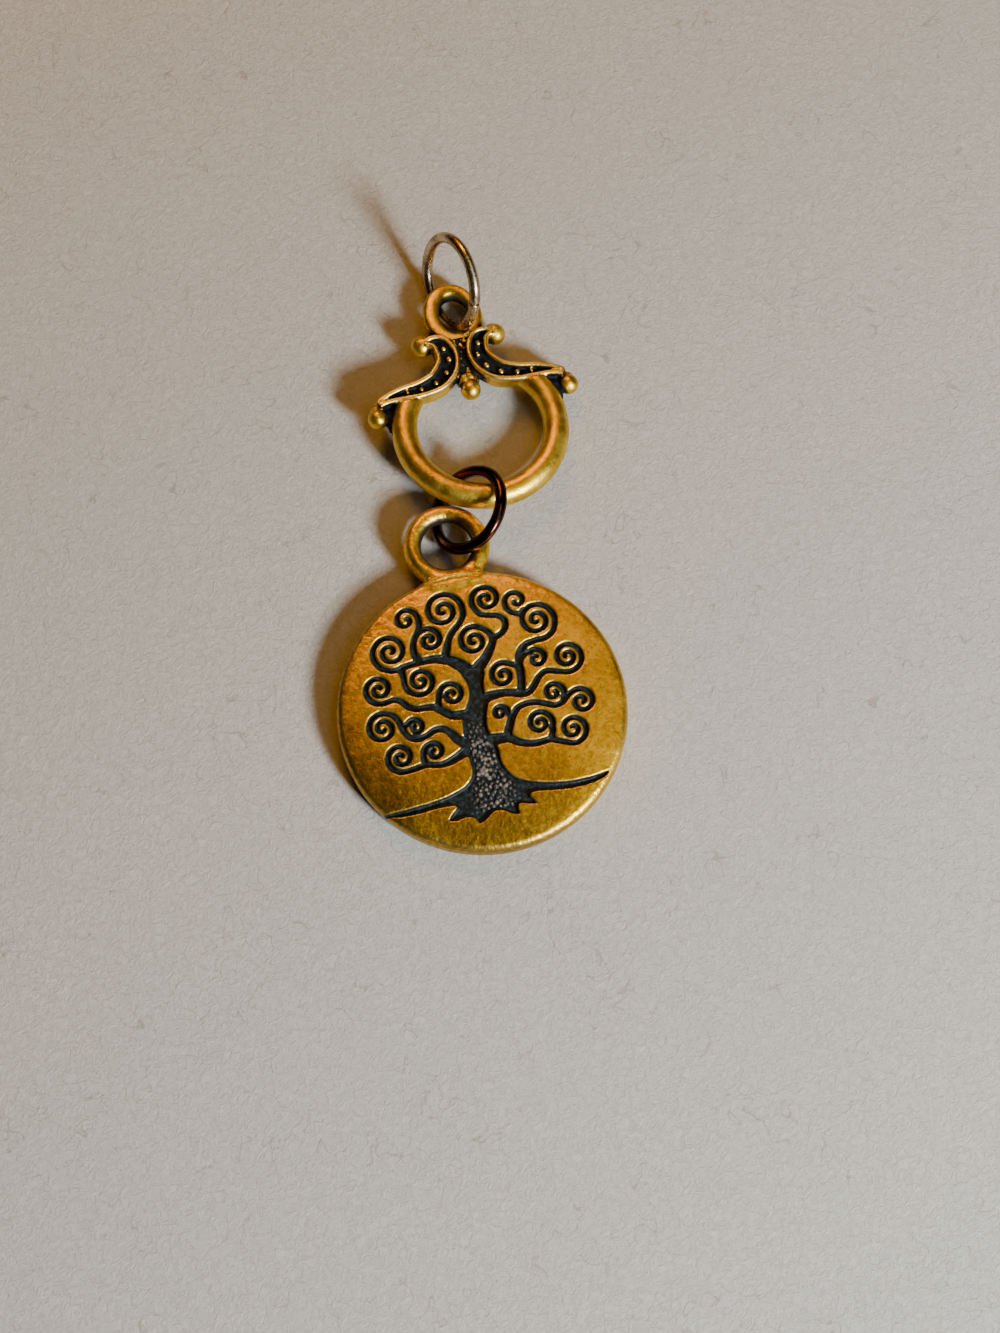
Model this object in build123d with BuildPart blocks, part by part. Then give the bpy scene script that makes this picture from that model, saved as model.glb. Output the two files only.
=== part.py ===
from build123d import *
from math import acos, asin, cos, degrees, radians, sin, sqrt
import os

os.makedirs("parts", exist_ok=True)

# Millimetres and degrees. The pendant lies on its back: +Y runs up the pendant, from the
# disc towards the ring for the chain, +X is to the right of that, and +Z is up.

# Disc with its sunk tree and its loop, one casting
disc_diameter = 19.0
disc_thickness = 1.7
tree_depth = 0.3
groove_width = 0.34
groove_tip_width = 0.26
grain_radius = 0.2
grain_height = 0.12
bail_width = 5.8
bail_wire = 1.2

# Jump rings: outside diameters, wires and the hairline gap where each one is closed
low_diameter = 6.4
low_wire = 0.8
up_diameter = 6.9
up_wire = 0.76
seam_gap = 0.03
low_seam = 250.0
up_seam = 25.0

# Scroll link, one casting: a ring, two scrolls with channels, balls, webs and an oval loop
link_diameter = 12.14
link_tube = 1.78
rib_width = 0.28
channel_depth = 0.4
granule_radius = 0.2
end_ball = 1.3
upper_ball = 1.4
low_ball = 1.4
loop_width = 3.92
loop_length = 4.82
loop_wire = 0.92

# How the pieces lie: turned about +Z, raised at the far end and rolled to the right.
# The least clearance is that between the wires that hang in each other.
clearance = 0.05
disc_spin = 12.0
disc_lift_side = 10.0
low_lean = 37.7
low_heading = 176.3
link_spin = 13.3
link_roll = 3.0
up_lean = 68.5
up_heading = 206.3

# Where the wires cross: as shares of the free room inside the loop or the ring, in x and y
low_crossing = (0.32, -0.1)
up_crossing = (0.14, -0.5)
link_crossing = 0.75
link_side_step = 1.12 * link_tube
link_drop = 0.1 * low_wire
settling_rounds = 80
settling_reach = 1.2

# The tree's lengths are in nineteenths of the disc's diameter. A branch is a stem of
# (x, y, width) points and a curl: its centre's x and y, its first radius, its turns, the
# angle where it starts, and +1 where it winds anticlockwise or -1 where it winds clockwise.
nineteenth = disc_diameter / 19
curl_end_radius = 0.14
curl_step = 30.0
branches = {
    "left_crown": (
        [(-0.35, 2.6, 0.9), (-0.85, 3.15, 0.8), (-1.5, 3.62, 0.65), (-2.4, 3.87, 0.55),
         (-3.4, 3.87, 0.46), (-4.3, 3.76, 0.4), (-4.85, 3.66, 0.36)],
        (-5.15, 4.95, 1.3, 1.85, 262, -1)),
    "top_left": (
        [(-1.72, 3.85, 0.5), (-1.47, 4.4, 0.45), (-1.25, 4.95, 0.4), (-0.9, 5.45, 0.38),
         (-0.4, 5.9, 0.36), (-0.02, 6.35, 0.35)],
        (-1.2, 7.04, 1.33, 1.8, -15, 1)),
    "left_tip": (
        [(-3.4, 3.95, 0.5), (-3.6, 4.4, 0.42), (-3.63, 4.9, 0.38), (-3.5, 5.35, 0.36),
         (-3.25, 5.75, 0.35), (-3.0, 6.15, 0.35), (-2.9, 6.5, 0.35)],
        (-3.74, 6.9, 0.83, 1.2, 0, 1)),
    "left_tip_bud": (
        [(-3.3, 5.7, 0.36)],
        (-2.46, 5.24, 0.84, 1.46, 125, -1)),
    "left_hanging": (
        [(-4.6, 3.75, 0.38), (-4.66, 3.35, 0.36)],
        (-3.61, 2.6, 1.07, 1.8, 160, 1)),
    "left_middle": (
        [(-0.6, -0.25, 0.7), (-1.3, -0.2, 0.62), (-2.0, -0.1, 0.55), (-2.55, 0.3, 0.52),
         (-3.0, 0.65, 0.45), (-3.6, 0.75, 0.4), (-4.2, 0.78, 0.38), (-4.7, 1.05, 0.38),
         (-5.1, 1.5, 0.36), (-5.6, 1.68, 0.35)],
        (-6.36, 2.58, 1.0, 1.7, 278, -1)),
    "left_middle_bud": (
        [(-2.75, 0.45, 0.42), (-2.75, 0.9, 0.36)],
        (-1.78, 1.28, 0.87, 1.5, 185, -1)),
    "left_low": (
        [(-1.2, -2.2, 0.8), (-1.9, -1.85, 0.6), (-2.3, -1.3, 0.48), (-2.75, -0.9, 0.42),
         (-3.3, -0.85, 0.4), (-3.9, -1.1, 0.38), (-4.5, -1.22, 0.38), (-5.05, -0.95, 0.38),
         (-5.35, -0.4, 0.36), (-5.5, 0.2, 0.35), (-5.75, 0.6, 0.35)],
        (-6.62, -0.06, 1.05, 1.75, 48, 1)),
    "left_low_bud": (
        [(-5.35, -0.25, 0.34)],
        (-4.5, -0.4, 0.59, 1.1, 150, -1)),
    "left_lowest": (
        [(-1.2, -2.5, 0.8), (-1.9, -2.75, 0.6), (-2.6, -3.05, 0.5), (-3.2, -3.18, 0.42),
         (-3.8, -3.13, 0.38), (-4.3, -3.0, 0.38), (-4.9, -3.1, 0.36)],
        (-5.83, -2.2, 1.0, 1.72, 285, -1)),
    "left_lowest_bud": (
        [(-4.35, -3.0, 0.36), (-4.4, -2.6, 0.34)],
        (-3.65, -2.26, 0.72, 1.28, 185, -1)),
    "right_crown": (
        [(-0.1, 2.45, 0.8), (0.35, 2.8, 0.74), (0.75, 3.15, 0.66), (1.1, 3.55, 0.58),
         (1.42, 4.0, 0.5), (1.6, 4.45, 0.42), (1.5, 4.9, 0.38)],
        (0.37, 4.59, 1.05, 1.62, 40, 1)),
    "top_right": (
        [(1.6, 4.5, 0.42), (2.15, 4.68, 0.4), (2.58, 5.08, 0.38), (2.63, 5.6, 0.36),
         (2.3, 5.98, 0.35), (1.75, 6.12, 0.35), (1.2, 6.28, 0.35)],
        (1.75, 7.28, 1.03, 1.7, 215, -1)),
    "right_middle": (
        [(-0.1, 0.45, 0.9), (0.5, 0.65, 0.65), (1.2, 0.72, 0.55), (1.9, 0.66, 0.5),
         (2.5, 0.48, 0.5), (3.1, 0.42, 0.46), (3.55, 0.75, 0.4), (4.0, 1.28, 0.38),
         (4.55, 1.6, 0.36), (5.2, 1.46, 0.35)],
        (6.14, 2.32, 1.07, 1.78, 262, 1)),
    "right_upper": (
        [(2.65, 0.5, 0.5), (2.85, 1.2, 0.48), (2.92, 1.9, 0.48), (2.97, 2.6, 0.46),
         (3.15, 3.2, 0.44), (3.6, 3.65, 0.4), (4.3, 3.8, 0.38), (5.0, 3.85, 0.36),
         (5.5, 4.12, 0.35)],
        (4.7, 5.19, 1.25, 1.87, -28, 1)),
    "right_upper_tip": (
        [(4.0, 6.05, 0.36)],
        (3.66, 6.77, 0.93, 1.22, 275, -1)),
    "right_inner": (
        [(2.85, 2.35, 0.42)],
        (1.76, 1.9, 0.9, 1.46, 48, 1)),
    "right_upper_bud": (
        [(3.1, 2.75, 0.42), (3.4, 3.0, 0.36)],
        (4.14, 2.57, 0.69, 1.2, 125, -1)),
    "right_low": (
        [(-0.1, -2.3, 0.9), (0.6, -2.25, 0.7), (1.25, -2.35, 0.55), (1.8, -2.7, 0.48),
         (2.5, -2.98, 0.42), (3.2, -3.02, 0.4), (3.9, -2.97, 0.38), (4.5, -3.22, 0.36)],
        (5.45, -2.55, 0.98, 1.6, 262, 1)),
    "right_low_outer": (
        [(1.2, -2.2, 0.5), (1.45, -1.6, 0.48), (1.75, -1.0, 0.45), (2.2, -0.5, 0.4),
         (2.8, -0.3, 0.38), (3.4, -0.32, 0.36), (4.0, -0.52, 0.36), (4.6, -0.78, 0.36),
         (5.15, -0.7, 0.35), (5.55, -0.35, 0.35)],
        (6.41, -0.86, 0.89, 1.5, 125, -1)),
    "right_low_tip": (
        [(5.25, -0.6, 0.36)],
        (4.73, 0.08, 0.74, 1.2, -35, 1)),
    "right_low_bud": (
        [(3.95, -2.85, 0.38), (4.18, -2.4, 0.34)],
        (3.42, -1.75, 0.89, 1.6, -38, 1)),
    "trunk_hook": (
        [(1.72, -1.0, 0.34), (1.58, -0.7, 0.32)],
        (1.05, -0.58, 0.5, 0.95, 15, 1)),
}

# The trunk's outline, anticlockwise from the left end of the ground line, as smooth
# stretches between corners
trunk_left = [
    (-1.47, -4.0), (-1.5, -3.3), (-1.55, -2.6), (-1.55, -1.8), (-1.48, -1.2), (-1.4, -0.6),
    (-1.15, 0.0), (-0.85, 0.5), (-0.66, 0.95), (-0.58, 1.5), (-0.68, 2.0), (-0.9, 2.55), (-0.9, 2.9)]
trunk_right = [
    (0.45, -3.9), (0.4, -3.4), (0.4, -2.9), (0.1, -1.9), (0.0, -1.3), (0.05, -0.8), (0.22, -0.25),
    (0.4, 0.4), (0.33, 1.05), (0.36, 1.6), (0.5, 2.0), (0.55, 2.4), (0.0, 2.72)]
trunk_outline = [
    [(-7.6, -5.68), (-6.5, -5.68), (-5.2, -5.6), (-4.0, -5.48), (-3.0, -5.25), (-2.2, -4.95),
     (-1.7, -4.55), *trunk_left],
    [(-0.9, 2.9), (-0.45, 3.0), (0.0, 2.72)],
    [*reversed(trunk_right), (0.68, -4.45), (1.05, -4.95), (1.65, -5.3), (2.5, -5.6), (3.5, -5.83),
     (4.5, -5.95), (5.5, -5.95), (6.5, -5.85), (7.1, -5.75)],
    [(7.1, -5.75), (6.9, -6.02), (6.2, -6.25), (5.3, -6.38), (4.4, -6.38), (3.4, -6.28),
     (2.5, -6.15), (2.0, -6.15), (1.75, -6.3), (1.85, -6.55), (2.15, -6.95)],
    [(2.15, -6.95), (1.7, -6.85), (1.2, -6.7), (0.9, -6.8), (0.85, -7.1), (0.9, -7.4)],
    [(0.9, -7.4), (0.5, -7.25), (0.0, -6.97), (-0.45, -6.85), (-0.85, -6.98), (-1.3, -7.3),
     (-1.7, -7.48)],
    [(-1.7, -7.48), (-1.85, -7.2), (-2.05, -6.97), (-2.6, -6.9), (-3.1, -7.0), (-3.6, -6.92)],
    [(-3.6, -6.92), (-3.3, -6.55), (-2.9, -6.2), (-3.1, -5.98), (-4.2, -5.97), (-5.4, -6.05),
     (-6.5, -6.02), (-7.6, -5.84)],
    [(-7.6, -5.84), (-7.6, -5.68)],
]
bark_spacing = 0.46
bark_margin = 0.28
bark_bottom = -6.2
flare_height = -4.3
flare_slope = 0.45
bark_wander = 0.08

# The scroll link's lengths are shares of its ring's centre line radius. The right scroll is
# a table of (x, y, width) points from its top curl out to the end ball; the left mirrors it.
link_radius = (link_diameter - link_tube) / 2
scroll = [
    (0.46, 1.32, 0.12), (0.37, 1.33, 0.19), (0.27, 1.28, 0.27), (0.212, 1.14, 0.31),
    (0.212, 1.01, 0.325), (0.257, 0.9, 0.34), (0.33, 0.81, 0.34), (0.444, 0.725, 0.32),
    (0.67, 0.662, 0.275), (0.878, 0.643, 0.237), (1.06, 0.615, 0.2), (1.2, 0.57, 0.165), (1.26, 0.51, 0.14)]
channel_ends = (2, 11)
granule_places = [(0.235, 1.2), (0.195, 1.03), (0.27, 0.84), (0.44, 0.71), (0.65, 0.66), (0.84, 0.645)]
end_web = [(1.03, 0.6, 0.2), (1.1, 0.42, 0.2), (1.11, 0.2, 0.14)]
end_ball_place = (1.293, 0.396)
upper_ball_place = (0.502, 1.342)
low_ball_place = 0.575
collar_place = (-0.05, 0.73)
web_bottom = 0.66
web_half_width = 0.15
scroll_top = 1.42
ring_end_angle = 40.0

# Sizes that follow
disc_radius = disc_diameter / 2
rim_round = 0.26 * disc_thickness
bail_sink = 0.57 * bail_wire
bail_reach = disc_radius + bail_width / 2 - bail_sink
bail_fillet = 0.9 * bail_wire
bail_web = 0.7 * bail_wire
loop_half_width = (loop_width - loop_wire) / 2
loop_half_length = (loop_length - loop_wire) / 2
loop_reach = scroll_top * link_radius + loop_half_length - 0.3 * loop_wire
loop_drop = 0.11 * link_tube
loop_shift = 0.05 * loop_width
web_top = loop_reach - loop_half_length
scroll_low = -0.4 * link_tube
scroll_high = 0.44 * link_tube
web_low = -0.3 * link_tube
web_high = 0.14 * link_tube
collar_high = 0.3 * link_tube
collar_radius = 0.42 * low_ball


class Hoop:
    """A ring of round wire, or a ring-shaped stretch of a casting, by its centre line."""

    def __init__(self, plane, diameter, wire):
        self.plane = plane
        self.radius = (diameter - wire) / 2
        self.wire_radius = wire / 2

    def at(self, angle):
        """The point of the centre line at an angle from the plane's x direction."""
        across = self.plane.x_dir * cos(radians(angle)) + self.plane.y_dir * sin(radians(angle))
        return self.plane.origin + across * self.radius

    def nearest(self, point):
        """The point of the centre line that lies nearest to the given one."""
        offset = point - self.plane.origin
        level = offset - self.plane.z_dir * offset.dot(self.plane.z_dir)
        return self.plane.origin + level.normalized() * self.radius

    def section(self, angle):
        """The plane of the wire's cross-section at an angle."""
        across = (self.at(angle) - self.plane.origin).normalized()
        return Plane(self.at(angle), x_dir=across, z_dir=self.plane.z_dir.cross(across))

    def axis(self):
        return Axis(self.plane.origin, self.plane.z_dir)

    def move(self, step):
        self.plane = Plane(self.plane.origin + step, x_dir=self.plane.x_dir, z_dir=self.plane.z_dir)


def lying_axes(spin, tilt, lift=0.0, roll=0.0):
    """The right, far and up directions of a flat piece that lies turned, tilted and rolled."""
    right, far, up = (Vector(*way).rotate(Axis.Z, spin) for way in ((1, 0, 0), (0, 1, 0), (0, 0, 1)))
    hinge = Axis((0, 0, 0), far.rotate(Axis.Z, lift).cross(Vector(0, 0, 1)))
    right, far, up = (way.rotate(hinge, tilt) for way in (right, far, up))
    spine = Axis((0, 0, 0), far)
    return right.rotate(spine, roll), far, up.rotate(spine, roll)


def standing_ring(point, diameter, wire, lean, heading):
    """A ring that stands on the surface, leans low towards its heading and passes through a point."""
    radius = (diameter - wire) / 2
    low = Vector(1, 0, 0).rotate(Axis.Z, heading)
    near = low.rotate(Axis.Z, 90)
    height = radius * sin(radians(lean)) + wire / 2
    turn = acos((height - point.Z) / (radius * sin(radians(lean))))
    back = low * (radius * cos(radians(lean)) * cos(turn)) + near * (radius * sin(turn))
    centre = Vector(point.X - back.X, point.Y - back.Y, height)
    up = low * sin(radians(lean)) + Vector(0, 0, cos(radians(lean)))
    return Hoop(Plane(centre, x_dir=near, z_dir=up), diameter, wire)


def lack_of_room(first, second):
    """How far, and which way, the second wire has to move from the first to stand clear of it."""
    lines = []
    for angle in range(0, 360, 2):
        point = second.at(angle)
        lines.append(point - first.nearest(point))
    line = min(lines, key=lambda way: way.length)
    lack = first.wire_radius + second.wire_radius + clearance - line.length
    return line.normalized() * max(lack, 0.0)


def settle(fixed_loop, first_ring, link_hoops, second_ring):
    """Push the loose pieces apart, each by itself, until no wire is too near to its neighbour."""
    link_ring, link_loop = link_hoops
    pairs = ((fixed_loop, first_ring), (fixed_loop, link_ring), (first_ring, link_ring),
             (link_loop, second_ring))
    for _ in range(settling_rounds):
        moved = 0.0
        for one, other in pairs:
            step = lack_of_room(one, other) * settling_reach
            moved = max(moved, step.length)
            if one is first_ring:
                step *= 0.5
                one.move(Vector(-step.X, -step.Y, 0))
            if other is link_ring:
                link_ring.move(step)
                link_loop.move(step)
            else:
                other.move(Vector(step.X, step.Y, 0))
        if moved == 0:
            return


# Disc: it rests on its near rim, and its loop rests on the lower jump ring's wire
bail_rise = low_wire + clearance + (bail_wire - disc_thickness) / 2
disc_tilt = degrees(asin(bail_rise / (disc_radius - rim_round + bail_reach)))
disc_right, disc_far, disc_up = lying_axes(disc_spin, disc_tilt, disc_lift_side)
disc_height = ((disc_radius - rim_round) * sin(radians(disc_tilt))
               + rim_round * (1 - cos(radians(disc_tilt))))
disc_plane = Plane(Vector(0, 0, disc_height), x_dir=disc_right, z_dir=disc_up)
bail_centre = disc_plane.from_local_coords((0, bail_reach, disc_thickness / 2))
bail_hoop = Hoop(Plane(bail_centre, x_dir=disc_right, z_dir=disc_up), bail_width, bail_wire)

# Lower jump ring: its wire goes down through the disc's loop, left of and below its middle
bail_free = bail_hoop.radius - (bail_wire + low_wire) / 2
low_place = bail_centre + Vector(*low_crossing, 0) * bail_free
low_hoop = standing_ring(low_place, low_diameter, low_wire, low_lean, low_heading)

# Scroll link: its ring lies in the lower jump ring, its loop lies on the upper one's wire.
# The upper jump ring hangs in the near end of the loop, which is taken as a hoop of its width.
low_free = low_hoop.radius - (low_wire + link_tube) / 2
link_near = low_hoop.plane.origin + Vector(link_side_step, link_crossing * low_free, -link_drop)
loop_height = up_wire + loop_wire / 2 + 3 * clearance
link_tilt = degrees(asin((loop_height + loop_drop - link_near.Z) / (link_radius + loop_reach)))
link_right, link_far, link_up = lying_axes(link_spin, link_tilt, roll=link_roll)
link_centre = link_near + link_far * link_radius
loop_end = (link_centre + link_right * loop_shift + link_far * (web_top + loop_half_width)
            - link_up * loop_drop)
link_hoop = Hoop(Plane(link_centre, x_dir=link_right, z_dir=link_up), link_diameter, link_tube)
loop_hoop = Hoop(Plane(loop_end, x_dir=link_right, z_dir=link_up), loop_width, loop_wire)

# Upper jump ring: its wire goes down through the near end of the link's loop
loop_free = loop_hoop.radius - (loop_wire + up_wire) / 2
up_place = loop_end + Vector(*up_crossing, 0) * loop_free
up_hoop = standing_ring(up_place, up_diameter, up_wire, up_lean, up_heading)

settle(bail_hoop, low_hoop, (link_hoop, loop_hoop), up_hoop)


def span(way):
    """The pendant's lowest and highest reach along a direction, from its round outlines."""
    ball_centres = [link_hoop.plane.from_local_coords((side * end_ball_place[0] * link_radius,
                                                       end_ball_place[1] * link_radius, 0))
                    for side in (-1, 1)]
    middle = disc_plane.from_local_coords((0, 0, disc_thickness / 2))
    rounds = [(middle, disc_up, disc_radius - rim_round, disc_thickness / 2 - rim_round, rim_round)]
    rounds += [(hoop.plane.origin, hoop.plane.z_dir, hoop.radius, 0.0, hoop.wire_radius)
               for hoop in (bail_hoop, low_hoop, link_hoop, loop_hoop, up_hoop)]
    rounds += [(centre, link_up, 0.0, 0.0, end_ball / 2) for centre in ball_centres]
    reaches = []
    for centre, up, radius, half_height, rounding in rounds:
        lean = abs(up.dot(way))
        reach = radius * sqrt(1 - lean ** 2) + half_height * lean + rounding
        reaches += [centre.dot(way) - reach, centre.dot(way) + reach]
    return min(reaches), max(reaches)


# The origin is under the middle of the whole pendant, on the surface
to_origin = Vector(-sum(span(Vector(1, 0, 0))) / 2, -sum(span(Vector(0, 1, 0))) / 2, 0)
disc_plane = Plane(disc_plane.origin + to_origin, x_dir=disc_right, z_dir=disc_up)
for hoop in (bail_hoop, low_hoop, link_hoop, loop_hoop, up_hoop):
    hoop.move(to_origin)


def band(points):
    """In a sketch: a band along a smooth line through (x, y, width) points, with a round end."""
    left, right = [], []
    for place, (x, y, width) in enumerate(points):
        x_from, y_from, _ = points[max(place - 1, 0)]
        x_to, y_to, _ = points[min(place + 1, len(points) - 1)]
        along = Vector(x_to - x_from, y_to - y_from).normalized()
        left.append(Vector(x, y) + along.rotate(Axis.Z, 90) * (width / 2))
        right.append(Vector(x, y) + along.rotate(Axis.Z, -90) * (width / 2))
    end = Vector(x, y) + along * (width / 2)
    with BuildLine() as outline:
        Spline(*left)
        ThreePointArc(left[-1], end, right[-1])
        Spline(*right)
        Line(left[0], right[0])
    make_face(outline.edges())


def branch_points(stem, curl):
    """A stem's points, and then its curl's, which wind inward at an even rate."""
    centre_x, centre_y, first_radius, turns, first_angle, hand = curl
    points = [(x * nineteenth, y * nineteenth, width * nineteenth) for x, y, width in stem]
    steps = round(360 * turns / curl_step)
    for step in range(steps + 1):
        share = step / steps
        radius = (first_radius + (curl_end_radius - first_radius) * share) * nineteenth
        angle = radians(first_angle + hand * 360 * turns * share)
        width = groove_width + (groove_tip_width - groove_width) * share
        points.append((centre_x * nineteenth + radius * cos(angle),
                       centre_y * nineteenth + radius * sin(angle), width))
    return points


def across(edge, height):
    """Where a side of the trunk, whose points run upward, stands at a height."""
    for (x_low, y_low), (x_high, y_high) in zip(edge, edge[1:]):
        if y_low <= height <= y_high:
            return x_low + (x_high - x_low) * (height - y_low) / (y_high - y_low)
    return edge[0][0]


def bark_places():
    """The bark's grains: staggered rows up the trunk, spreading where the trunk spreads."""
    places = []
    rows = int((trunk_left[-2][1] - bark_bottom) / bark_spacing)
    for row in range(rows + 1):
        height = bark_bottom + row * bark_spacing
        flare = max(flare_height - height, 0) * flare_slope
        low = across(trunk_left, height) + bark_margin - flare
        high = across(trunk_right, height) - bark_margin + flare
        grains = max(int((high - low) / bark_spacing), 1)
        stagger = 0.75 if row % 2 else 0.25
        for grain in range(grains):
            x = low + (high - low) * (grain + stagger) / grains
            wander = bark_wander * sin(7.0 * row + 3.0 * grain)
            places.append((x * nineteenth, (height + wander) * nineteenth))
    return places


# tree_charm
with BuildPart() as tree_charm:
    with BuildSketch(disc_plane):
        Circle(disc_radius)
    extrude(amount=disc_thickness)
    fillet(tree_charm.edges().filter_by(GeomType.CIRCLE), rim_round)
    # Loop, and the cast fillets in the corners beside it
    with BuildSketch(bail_hoop.section(0)):
        Circle(bail_hoop.wire_radius)
    revolve(axis=bail_hoop.axis())
    corner_from_disc = disc_radius + bail_fillet
    corner_from_loop = bail_width / 2 + bail_fillet
    corner_y = (bail_reach ** 2 + corner_from_disc ** 2 - corner_from_loop ** 2) / (2 * bail_reach)
    corner_x = sqrt(corner_from_disc ** 2 - corner_y ** 2)
    with BuildSketch(disc_plane.offset((disc_thickness - bail_web) / 2)):
        Polygon((0, disc_radius / 2), (corner_x, corner_y), (0, bail_reach), (-corner_x, corner_y),
                align=None)
        with Locations((-corner_x, corner_y), (corner_x, corner_y)):
            Circle(bail_fillet, mode=Mode.SUBTRACT)
        with Locations((0, bail_reach)):
            Circle(bail_hoop.radius, mode=Mode.SUBTRACT)
    extrude(amount=bail_web)
    # Tree, sunk into the face
    with BuildSketch(disc_plane.offset(disc_thickness)) as tree:
        with BuildLine():
            for stretch in trunk_outline:
                Spline(*[(x * nineteenth, y * nineteenth) for x, y in stretch])
        make_face()
        for stem, curl in branches.values():
            band(branch_points(stem, curl))
    extrude(amount=-tree_depth, mode=Mode.SUBTRACT)
    # Bark
    grain_level = disc_thickness - tree_depth + grain_height - grain_radius
    with Locations(disc_plane.offset(grain_level)):
        with Locations(*bark_places()):
            Sphere(grain_radius)

# lower_jump_ring and upper_jump_ring
with BuildPart() as lower_jump_ring:
    with BuildSketch(low_hoop.section(low_seam)):
        Circle(low_hoop.wire_radius)
    revolve(axis=low_hoop.axis(), revolution_arc=360 - degrees(seam_gap / low_hoop.radius))

with BuildPart() as upper_jump_ring:
    with BuildSketch(up_hoop.section(up_seam)):
        Circle(up_hoop.wire_radius)
    revolve(axis=up_hoop.axis(), revolution_arc=360 - degrees(seam_gap / up_hoop.radius))


def scaled(points, side):
    """A table's points at the link's size, on its right side (1) or mirrored to its left (-1)."""
    return [(side * x * link_radius, y * link_radius, width * link_radius) for x, y, width in points]


def outward(place, side):
    """A ball's place on the right (1) or the left (-1), turned so that its seam faces away."""
    x, y = place
    return Location((side * x * link_radius, y * link_radius, 0), (0, 0, 90 - 90 * side))


def narrowed(points):
    """The line of a channel inside a scroll, a rib's width in from each edge."""
    first, last = channel_ends
    return [(x, y, width - 2 * rib_width) for x, y, width in points[first:last]]


# scroll_link
link_plane = link_hoop.plane
with BuildPart() as scroll_link:
    with BuildSketch(link_hoop.section(180 - ring_end_angle)):
        Circle(link_hoop.wire_radius)
    revolve(axis=link_hoop.axis(), revolution_arc=180 + 2 * ring_end_angle)
    # Scrolls, then their channels
    for side in (-1, 1):
        with BuildSketch(link_plane.offset(scroll_low)):
            band(scaled(scroll, side))
        extrude(amount=scroll_high - scroll_low)
    for side in (-1, 1):
        with BuildSketch(link_plane.offset(scroll_high - channel_depth)):
            band(narrowed(scaled(scroll, side)))
        extrude(amount=channel_depth + link_tube, mode=Mode.SUBTRACT)
    # Webs between the scrolls and beside the end balls
    with BuildSketch(link_plane.offset(web_low)):
        with Locations((0, web_bottom * link_radius)):
            Rectangle(2 * web_half_width * link_radius, web_top - web_bottom * link_radius,
                      align=(Align.CENTER, Align.MIN))
        for side in (-1, 1):
            band(scaled(end_web, side))
    extrude(amount=web_high - web_low)
    # Collar over the low ball
    with BuildSketch(link_plane.offset(web_low)):
        with Locations((collar_place[0] * link_radius, collar_place[1] * link_radius)):
            Circle(collar_radius)
    extrude(amount=collar_high - web_low)
    # Granules and balls
    with Locations(link_plane.offset(scroll_high - channel_depth)):
        with Locations(*[(side * x * link_radius, y * link_radius)
                         for x, y in granule_places for side in (-1, 1)]):
            Sphere(granule_radius)
    with Locations(link_plane):
        with Locations(outward(end_ball_place, 1), outward(end_ball_place, -1)):
            Sphere(end_ball / 2)
        with Locations(outward(upper_ball_place, 1), outward(upper_ball_place, -1)):
            Sphere(upper_ball / 2)
        with Locations(Location((0, low_ball_place * link_radius, 0), (0, 0, -90))):
            Sphere(low_ball / 2)
    # Loop
    with BuildLine(link_plane.offset(-loop_drop)) as oval:
        EllipticalCenterArc((loop_shift, loop_reach), loop_half_width, loop_half_length,
                            start_angle=90, arc_size=360)
    with BuildSketch(Plane(oval.line @ 0, z_dir=oval.line % 0)) as loop_section:
        Circle(loop_wire / 2)
    sweep(sections=loop_section.sketch, path=oval.line)

tree_charm.part.label = "tree_charm"
lower_jump_ring.part.label = "lower_jump_ring"
scroll_link.part.label = "scroll_link"
upper_jump_ring.part.label = "upper_jump_ring"

export_step(tree_charm.part, "parts/tree_charm.step")
export_step(lower_jump_ring.part, "parts/lower_jump_ring.step")
export_step(scroll_link.part, "parts/scroll_link.step")
export_step(upper_jump_ring.part, "parts/upper_jump_ring.step")
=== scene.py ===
import math
import random

import bmesh
import bpy
import numpy as np
from mathutils import Matrix, Vector, noise
from mathutils.bvhtree import BVHTree
from mathutils.geometry import delaunay_2d_cdt


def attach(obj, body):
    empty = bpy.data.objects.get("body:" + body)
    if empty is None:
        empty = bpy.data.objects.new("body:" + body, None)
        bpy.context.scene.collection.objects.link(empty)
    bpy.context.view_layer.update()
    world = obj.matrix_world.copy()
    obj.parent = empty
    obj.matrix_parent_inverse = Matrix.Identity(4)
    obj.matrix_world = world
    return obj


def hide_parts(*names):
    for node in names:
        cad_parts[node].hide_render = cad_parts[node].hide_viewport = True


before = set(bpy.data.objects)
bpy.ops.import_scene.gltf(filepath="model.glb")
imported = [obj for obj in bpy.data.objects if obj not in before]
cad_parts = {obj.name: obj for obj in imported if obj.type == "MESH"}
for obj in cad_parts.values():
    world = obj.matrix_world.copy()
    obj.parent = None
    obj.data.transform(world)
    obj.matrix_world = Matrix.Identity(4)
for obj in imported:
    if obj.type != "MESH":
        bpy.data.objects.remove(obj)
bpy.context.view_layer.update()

# Lengths are millimetres, and angles are degrees, up to the last step of each piece
METRES = 0.001

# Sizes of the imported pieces
disc_radius = 9.5
disc_thickness = 1.7
groove_width = 0.34
groove_tip_width = 0.26
rim_round = 0.44
bail_radius = 2.3
bail_wire_radius = 0.6
bail_reach = 11.716
low_radius = 2.8
low_wire_radius = 0.4
up_radius = 3.07
up_wire_radius = 0.38
link_radius = 5.18
link_tube_radius = 0.89
loop_half_width = 1.5
loop_half_length = 1.95
loop_wire_radius = 0.46
loop_reach = 9.03
loop_shift = 0.196
loop_far_depth = 0.2
loop_thick_angle = 150.0
loop_thicker = 0.11
loop_drop = 0.196

low_seam = 250.0
up_seam = 25.0
placing_rounds = 6

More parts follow.
